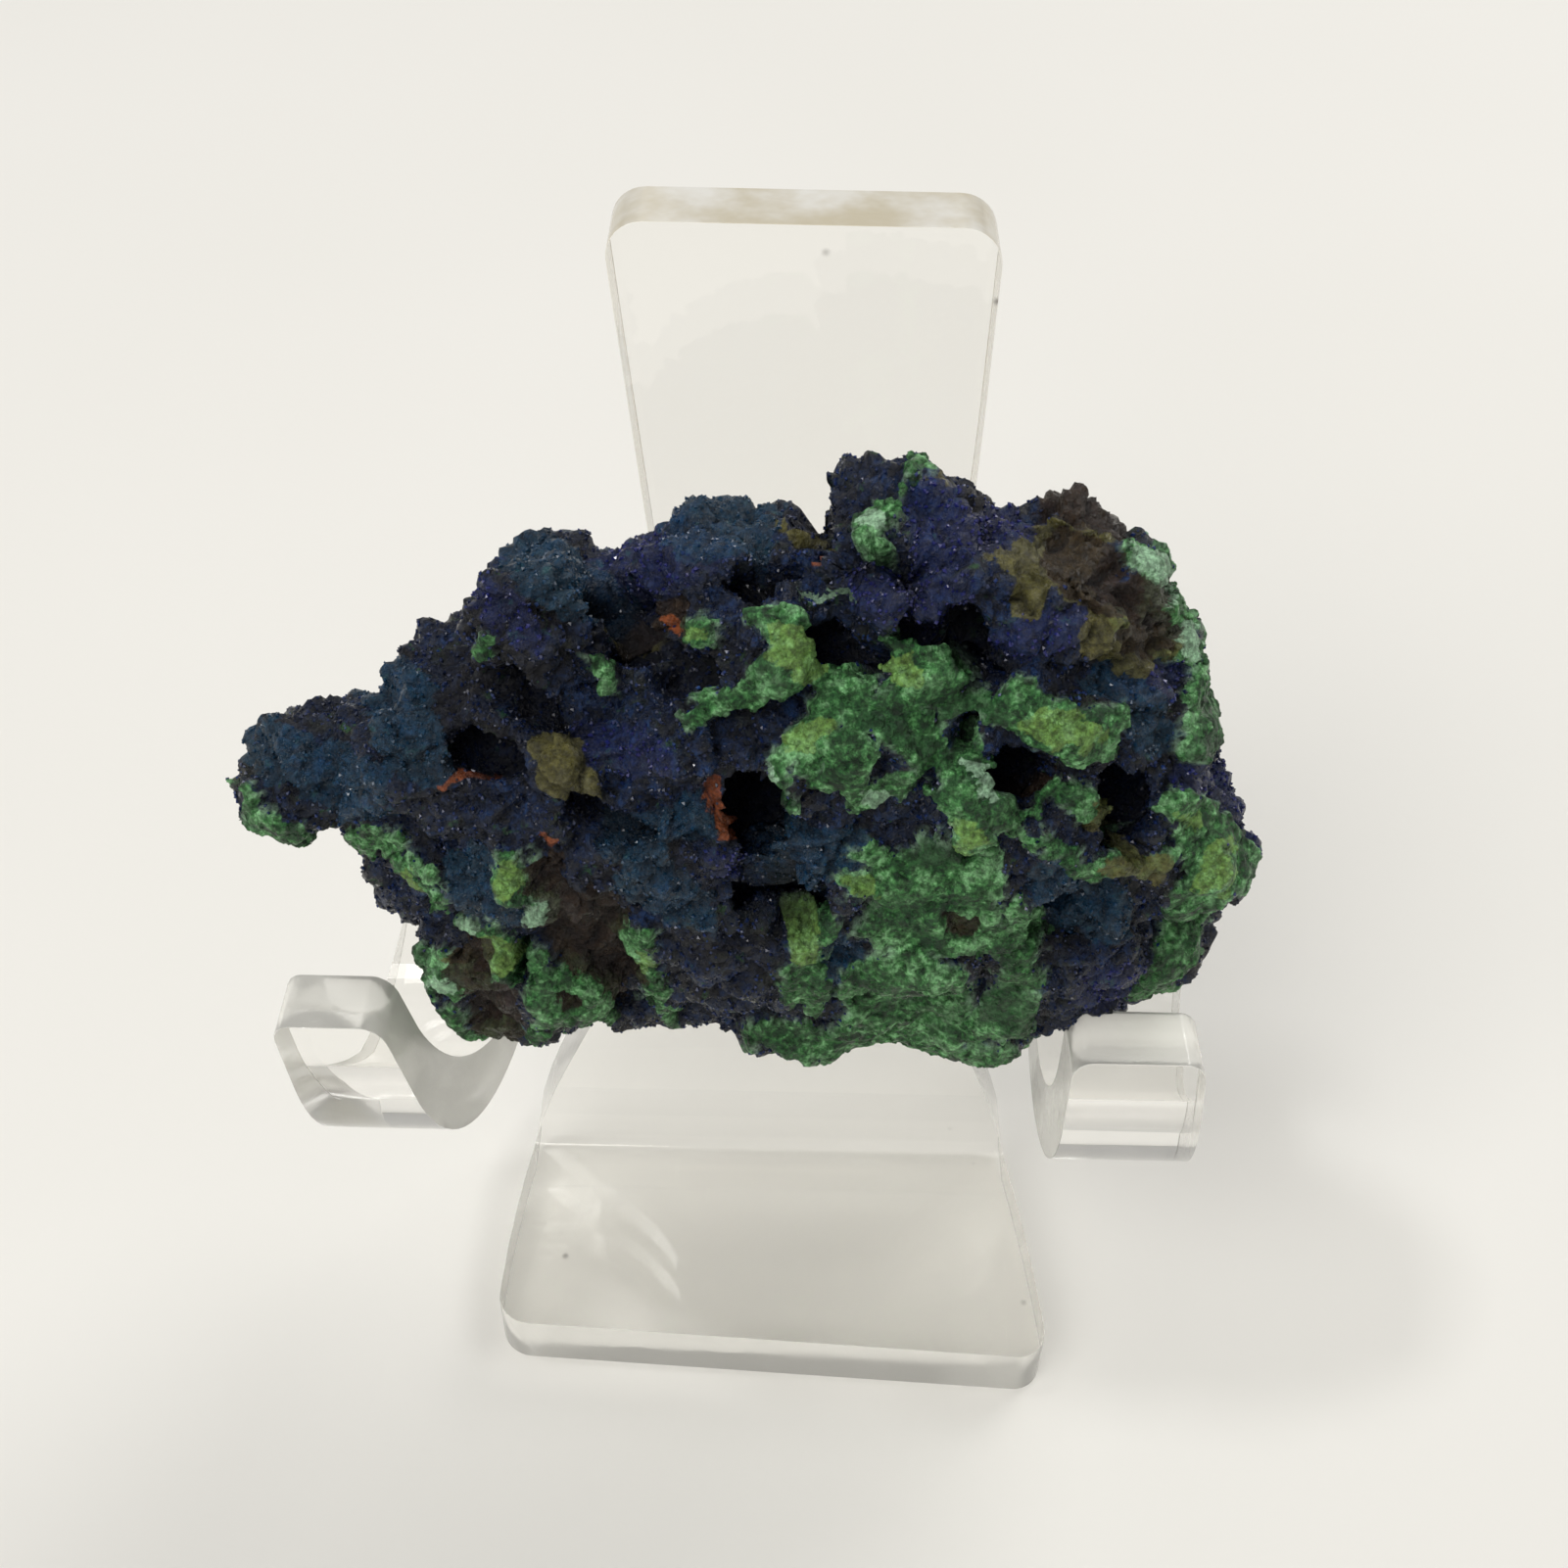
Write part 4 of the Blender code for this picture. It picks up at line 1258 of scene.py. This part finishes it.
@dataclass
class Crystals:
    """Azurite grains that stand all over the blue parts of the stone.

    Attributes:
        ground: The stone.
        smallest: Least size, in metres for a form one unit long.
        largest: Greatest size, in metres.
        density: Crystals a square metre of bare azurite.
        wildness: How far they lean from the stone's own slope, from 0 to 1.
        seed: Fixes where they stand.
    """

    ground: bpy.types.Object
    smallest: float = 0.15 * MM
    largest: float = 0.36 * MM
    density: float = 3.9e6
    wildness: float = 0.5
    seed: int = 11

    @staticmethod
    def grain() -> bpy.types.Object:
        """Shapes one crystal.

        Returns:
            A lopsided eight-faced crystal about a unit wide, sunk to its waist.
        """
        waist = [(-0.5, 0.04), (0.06, -0.38), (0.52, 0.0), (-0.04, 0.4)]
        bm = bmesh.new()
        ring = [bm.verts.new((x, y, 0.06)) for x, y in waist]
        top, foot = bm.verts.new((0.1, 0.05, 0.46)), bm.verts.new((0.0, 0.0, -0.4))
        for i, corner in enumerate(ring):
            after = ring[(i + 1) % len(ring)]
            bm.faces.new((corner, after, top))
            bm.faces.new((after, corner, foot))
        bmesh.ops.recalc_face_normals(bm, faces=bm.faces)
        mesh = bpy.data.meshes.new("grain")
        bm.to_mesh(mesh)
        bm.free()
        return bpy.data.objects.new("grain", mesh)

    def build(self) -> bpy.types.Object:
        """Grows the crystals.

        Returns:
            Them as one piece.
        """
        tree = Scatter("Druse", self.grain(), CrystalFinish().material())
        return tree.grow(
            self.ground,
            "azurite_crystals",
            Density=self.density,
            Where="druse",
            Smallest=self.smallest,
            Largest=self.largest,
            Wildness=self.wildness,
            Seed=self.seed,
        )


@dataclass
class Beads:
    """Round malachite beads on the green crusts.

    Attributes:
        ground: The stone.
        smallest: Least radius, in metres.
        largest: Greatest radius, in metres.
        density: Beads a square metre of malachite.
        wildness: How far they lean from the stone's own slope, from 0 to 1.
        seed: Fixes where they sit.
        squash: Height of a bead, as a share of its width.
        sunk: How far it sinks, in radii.
    """

    ground: bpy.types.Object
    smallest: float = 0.10 * MM
    largest: float = 0.26 * MM
    density: float = 4.0e6
    wildness: float = 0.3
    seed: int = 23
    squash: float = 0.8
    sunk: float = 0.35

    def bead(self) -> bpy.types.Object:
        """Shapes one bead.

        Returns:
            A squashed bead of unit radius, partly sunk.
        """
        bm = bmesh.new()
        bmesh.ops.create_icosphere(bm, subdivisions=1, radius=1.0)
        for vert in bm.verts:
            vert.co.z = vert.co.z * self.squash - self.sunk
        for face in bm.faces:
            face.smooth = True
        mesh = bpy.data.meshes.new("bead")
        bm.to_mesh(mesh)
        bm.free()
        return bpy.data.objects.new("bead", mesh)

    def build(self) -> bpy.types.Object:
        """Grows the beads.

        Returns:
            Them as one piece.
        """
        tree = Scatter("Botryoidal beads", self.bead(), self.ground.data.materials[0])
        return tree.grow(
            self.ground,
            "malachite_beads",
            Density=self.density,
            Where=Mineral.MALACHITE.value,
            Smallest=self.smallest,
            Largest=self.largest,
            Wildness=self.wildness,
            Seed=self.seed,
        )


@dataclass(frozen=True)
class Arm:
    """One hook arm of the easel, sizes in millimetres.

    Attributes:
        side: -1 on the left and 1 on the right.
        across: How far out its stem stands.
        hook_up: Height of the hook's centre along the plate.
        tip: Height of its tip over the hook's centre.
        tip_width: Width at its tip.
        splay: How far it drifts out for each millimetre along the hook.
    """

    side: int
    across: float
    hook_up: float
    tip: float
    tip_width: float
    splay: float


@dataclass
class Easel:
    """The one-piece bent acrylic easel, sizes in millimetres.

    Attributes:
        plate: The back plate's frame.
        sheet: Thickness of the sheet.
        edge_round: Radius of its polished edges.
        bend_radius: Radius inside the bend.
        foot_length: How far the foot reaches in front of the bend.
        foot_skew: Slope of the foot's front edge, which isn't quite square.
        plate_length: How far the plate reaches above the bend.
        corner: Radius of the foot's and the plate's corners.
        arm_width: Width of an arm's strip.
        root_low: Distance from the bend where the arms' roots start, and root_high is where they end.
        hook_gap: Gap inside a hook.
        tip_corner: Radius of the corners of a hook's tip.
        foot_rows: Distances from the bend of the mesh's rows across the foot.
        low_rows: Distances of the rows below the arms, and high_rows is those above them.
        sharp_angle: The least angle that counts as an edge to polish, in radians.
        widths: (distance from the bend, half width) along the sheet, negative on the foot.
        shifts: (distance from the bend, how far its middle line stands to the right).
        arms: The two hook arms.
    """

    plate: Plate
    sheet: float = 4.5
    edge_round: float = 1.1
    bend_radius: float = 0.8
    bend_steps: int = 12
    foot_length: float = 15.0
    foot_skew: float = math.tan(math.radians(3.0))
    plate_length: float = 68.9
    corner: float = 2.2
    corner_steps: int = 8
    arm_width: float = 10.0
    root_low: float = 26.0
    root_high: float = 38.0
    turn_steps: int = 14
    hook_gap: float = 11.0
    hook_steps: int = 30
    tip_corner: float = 1.2
    tip_steps: int = 4
    foot_rows: tuple[int, ...] = (12, 9, 6, 3)
    low_rows: range = range(3, 25, 2)
    high_rows: range = range(41, 67, 3)
    edge_segments: int = 5
    sharp_angle: float = math.radians(50.0)
    widths: Pairs = (
        (-15.0, 18.3),
        (-9.0, 17.8),
        (0.0, 16.4),
        (5.0, 14.9),
        (10.0, 12.9),
        (15.0, 10.9),
        (20.0, 9.2),
        (26.0, 8.1),
        (38.0, 8.0),
        (54.0, 9.4),
        (68.9, 10.5),
    )
    shifts: Pairs = (
        (-15.0, 0.65),
        (0.0, 0.2),
        (10.0, 0.35),
        (26.0, 1.1),
        (46.0, 1.8),
        (68.9, 1.1),
    )
    arms: tuple[Arm, ...] = (Arm(-1, 18.5, 21.5, 4.3, 6.4, 0.25), Arm(1, 22.2, 20.0, 4.2, 7.8, -0.012))

    @staticmethod
    def along(table: Pairs, distance: float) -> float:
        """Reads a size off a smooth curve through a table.

        Args:
            table: (distance from the bend, size) pairs.
            distance: The distance from the bend.

        Returns:
            The size there.
        """
        last = len(table) - 1
        place = min(max(distance, table[0][0]), table[last][0])
        i = max(k for k in range(last) if table[k][0] <= place)

        def slope(k: int) -> float:
            """Returns the curve's slope at a row of the table."""
            low, high = max(k - 1, 0), min(k + 1, last)
            return (table[high][1] - table[low][1]) / (table[high][0] - table[low][0])

        (x0, y0), (x1, y1) = table[i], table[i + 1]
        span = x1 - x0
        t = (place - x0) / span
        start, stop = y0 * (1 + 2 * t) * (1 - t) ** 2, y1 * t * t * (3 - 2 * t)
        return start + stop + span * t * (1 - t) * (slope(i) * (1 - t) - slope(i + 1) * t)

    def middle(self, distance: float) -> Vector:
        """Follows the middle of the sheet's thickness.

        Args:
            distance: The distance from the bend, negative on the foot.

        Returns:
            The point there, from the bend's inside corner.
        """
        _, up, out = (Vector(axis) for axis in self.plate.axes())
        reach = self.bend_radius * math.tan(self.plate.lean / 2)
        if distance <= -reach:
            return Vector((0.0, distance, -self.sheet / 2))
        if distance >= reach:
            return up * distance - out * self.sheet / 2
        radius = self.bend_radius + self.sheet / 2
        angle = (distance + reach) / (2 * reach) * self.plate.lean
        return Vector((0.0, radius * math.sin(angle) - reach, self.bend_radius - radius * math.cos(angle)))

    def end_rows(self, end: float, inward: int) -> list[tuple[float, float]]:
        """Rounds the two corners at an end of the sheet.

        Args:
            end: The end's distance from the bend.
            inward: 1 where the sheet lies at greater distances, or -1.

        Returns:
            The rows that round the corners, as (distance, inset).
        """
        rows = []
        for step in range(self.corner_steps + 1):
            angle = math.radians(90.0) * step / self.corner_steps
            drop = self.corner * (1 - math.cos(angle))
            rows.append((end + inward * drop, self.corner * (1 - math.sin(angle))))
        return rows

    def rows(self) -> list[tuple[float, float]]:
        """Lays out the mesh's rows across the sheet.

        Returns:
            Every row, foot to top, as (distance, inset).
        """
        reach = self.bend_radius * math.tan(self.plate.lean / 2)
        turn = [(reach * (2 * k / self.bend_steps - 1), 0.0) for k in range(self.bend_steps + 1)]
        foot = [(-float(d), 0.0) for d in self.foot_rows]
        distances = (*self.low_rows, self.root_low, self.root_high, *self.high_rows)
        body = [(float(d), 0.0) for d in distances]
        top = self.end_rows(self.plate_length, -1)[::-1]
        return [*self.end_rows(-self.foot_length, 1), *foot, *turn, *body, *top]

    def row_end(self, distance: float, inset: float, side: int) -> Vector:
        """Places one end of a row.

        Args:
            distance: The row's distance from the bend.
            inset: How far the end stands inside the sheet's edge.
            side: -1 on the left and 1 on the right.

        Returns:
            The place, in metres in the world.
        """
        across = self.along(self.shifts, distance) + side * (self.along(self.widths, distance) - inset)
        slant = self.foot_skew * across * max(-distance, 0.0) / self.foot_length
        return (self.middle(distance) + Vector((across, -slant, 0.0)) + Vector(self.plate.bend)) * MM

    def arm_rows(self, arm: Arm) -> list[list[Place]]:
        """Lays out an arm: the turn out of the plate, the hook's half turn and its tip.

        Args:
            arm: The arm.

        Returns:
            Rows along it past its root, each as two (across, up, out) places.
        """
        radius = (self.hook_gap + self.sheet) / 2
        length = radius * math.pi + arm.tip
        root = self.along(self.widths, (self.root_low + self.root_high) / 2)
        back = -self.sheet / 2
        rows: list[list[Place]] = []

        def hook_row(along: float, inset: float, height: float, out: float) -> None:
            """Adds a row of the hook.

            Args:
                along: Distance along the hook, which sets its drift and its width.
                inset: How far the row's ends stand inside the edge.
                height: The row's height along the plate.
                out: How far it stands out.
            """
            centre = arm.across + arm.splay * along
            width = self.arm_width + (arm.tip_width - self.arm_width) * along / length
            rows.append([(arm.side * (centre + way * (width / 2 - inset)), height, out) for way in (-1, 1)])

        edges = [arm.across + way * self.arm_width / 2 for way in (-1, 1)]
        for step in range(1, self.turn_steps + 1):
            angle = math.radians(90.0) * step / self.turn_steps
            pair = []
            for edge, start in zip(edges, (self.root_low, self.root_high)):
                across = root + (edge - root) * math.sin(angle)
                pair.append((arm.side * across, arm.hook_up + (start - arm.hook_up) * math.cos(angle), back))
            rows.append(pair)
        for step in range(1, self.hook_steps + 1):
            angle = math.pi * step / self.hook_steps
            height = arm.hook_up - radius * math.sin(angle)
            hook_row(radius * angle, 0.0, height, radius * (1 - math.cos(angle)) + back)
        for step in range(self.tip_steps + 1):
            angle = math.radians(90.0) * step / self.tip_steps
            rise = arm.tip - self.tip_corner * (1 - math.sin(angle))
            inset = self.tip_corner * (1 - math.cos(angle))
            hook_row(radius * math.pi + rise, inset, arm.hook_up + rise, 2 * radius + back)
        return rows

    def build(self) -> bpy.types.Object:
        """Builds the easel.

        Returns:
            It as one plain mesh.
        """
        bm = bmesh.new()
        spine = self.rows()
        rows = [[bm.verts.new(self.row_end(d, inset, side)) for side in (-1, 1)] for d, inset in spine]
        for low, high in zip(rows, rows[1:]):
            bm.faces.new((low[0], low[1], high[1], high[0]))
        distances = [distance for distance, _ in spine]
        roots = rows[distances.index(self.root_low)], rows[distances.index(self.root_high)]
        for arm in self.arms:
            end = 0 if arm.side < 0 else 1
            before = (roots[0][end], roots[1][end])
            for pair in self.arm_rows(arm):
                fresh = [bm.verts.new(point) for point in self.plate.to_world(np.array(pair))]
                bm.faces.new((before[0], fresh[0], fresh[1], before[1]))
                before = (fresh[0], fresh[1])
        bmesh.ops.recalc_face_normals(bm, faces=bm.faces)
        mesh = bpy.data.meshes.new("easel_sheet")
        bm.to_mesh(mesh)
        bm.free()
        for finish in (AcrylicFinish(), SawnFinish()):
            mesh.materials.append(finish.material())
        sheet = bpy.data.objects.new("easel_sheet", mesh)
        bpy.context.scene.collection.objects.link(sheet)
        thick = sheet.modifiers.new("Thickness", "SOLIDIFY")
        thick.thickness = self.sheet * MM
        thick.offset = 0.0
        thick.use_even_offset = True
        thick.material_offset_rim = 1
        soft = sheet.modifiers.new("Polished edges", "BEVEL")
        soft.width = self.edge_round * MM
        soft.segments = self.edge_segments
        soft.limit_method = "ANGLE"
        soft.angle_limit = self.sharp_angle
        easel = plain_mesh(sheet, "easel_clear")
        easel.data.shade_smooth()
        even = easel.modifiers.new("Flat faces stay flat", "WEIGHTED_NORMAL")
        even.keep_sharp = False
        return easel


@dataclass
class Studio:
    """The table, the lights and the camera.

    Attributes:
        elevation: How steeply the camera looks down, in degrees.
        roll: How far the picture is turned clockwise, in degrees.
        camera: The camera's place, in millimetres.
        focal: Its focal length for a 36 mm sensor, in millimetres.
        table_size: Side of the table, in metres.
        table_drop: How far it lies under the easel, in metres, so that no faces share a place.
        aim: Where the lights point, in metres.
        air: Colour of the room's light, and air_strength is how much there is of it.
    """

    elevation: float = 48.0
    roll: float = 1.2
    camera: Place = (0.7, -79.1, 139.3)
    focal: float = 51.72
    table_size: float = 3.0
    table_drop: float = 0.00005
    aim: Place = (0.0, 0.0, 0.035)
    air: Color = (1.0, 0.985, 0.96)
    air_strength: float = 0.39

    def floor(self) -> None:
        """Lays the table top."""
        half = self.table_size / 2
        mesh = bpy.data.meshes.new("table")
        corner_places = [(-half, -half, 0), (half, -half, 0), (half, half, 0), (-half, half, 0)]
        mesh.from_pydata(corner_places, [], [(0, 1, 2, 3)])
        mesh.materials.append(TableFinish().material())
        table = bpy.data.objects.new("table", mesh)
        bpy.context.scene.collection.objects.link(table)
        table.location.z = -self.table_drop

    def light(self, name: str, place: Place, size: float, watts: float, color: Color) -> None:
        """Adds a soft square light that points at the stone.

        Args:
            name: Its name.
            place: Where it is, in metres.
            size: Its side, in metres.
            watts: Its power.
            color: Its colour.
        """
        data = bpy.data.lights.new(name, "AREA")
        data.shape = "SQUARE"
        data.size = size
        data.energy = watts
        data.color = color
        lamp = bpy.data.objects.new(name, data)
        bpy.context.scene.collection.objects.link(lamp)
        lamp.location = place
        lamp.rotation_mode = "QUATERNION"
        lamp.rotation_quaternion = (Vector(self.aim) - Vector(place)).to_track_quat("-Z", "Y")

    def build(self) -> None:
        """Sets the whole studio up."""
        scene = bpy.context.scene
        world = bpy.data.worlds.new("Pale room")
        world.use_nodes = True
        backdrop = world.node_tree.nodes["Background"]
        backdrop.inputs["Color"].default_value = (*self.air, 1.0)
        backdrop.inputs["Strength"].default_value = self.air_strength
        scene.world = world
        scene.view_settings.view_transform = "Standard"
        self.floor()
        self.light("Window", (0.42, 0.50, 0.60), 0.40, 3.05, (1.0, 0.99, 0.97))
        self.light("Ceiling", (-0.36, -0.42, 0.72), 0.50, 3.8, (1.0, 0.98, 0.95))
        self.light("Spark", (-0.20, 0.05, 0.55), 0.05, 0.6, (1.0, 1.0, 1.0))
        tilt, turn = math.radians(self.elevation), math.radians(self.roll)
        right = Vector((1.0, 0.0, 0.0))
        ahead = Vector((0.0, math.cos(tilt), -math.sin(tilt)))
        above = Vector((0.0, math.sin(tilt), math.cos(tilt)))
        x_axis = right * math.cos(turn) + above * math.sin(turn)
        y_axis = above * math.cos(turn) - right * math.sin(turn)
        data = bpy.data.cameras.new("Camera")
        data.sensor_width = 36.0
        data.lens = self.focal
        data.clip_start = 0.005
        data.clip_end = 20.0
        camera = bpy.data.objects.new("Camera", data)
        scene.collection.objects.link(camera)
        turned = Matrix((x_axis, y_axis, -ahead)).transposed().to_4x4()
        camera.matrix_world = Matrix.Translation(Vector(self.camera) * MM) @ turned
        scene.camera = camera


def report(piece: bpy.types.Object) -> None:
    """Logs a piece's name and size in triangles."""
    piece.data.calc_loop_triangles()
    LOG.info("%s: %d triangles", piece.name, len(piece.data.loop_triangles))


def main() -> None:
    """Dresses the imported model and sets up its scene."""
    logging.basicConfig(level=logging.INFO, format="%(name)s: %(message)s")
    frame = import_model()
    plate = Plate()
    Studio().build()
    easel = Easel(plate).build()
    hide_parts("easel")
    stone = Stone(plate, frame["nodes"]["azurite"], easel).build()
    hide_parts("azurite")
    crystals = Crystals(stone).build()
    beads = Beads(stone).build()
    for piece in (easel, stone, crystals, beads):
        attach(piece, "root")
        report(piece)


if __name__ == "__main__":
    main()
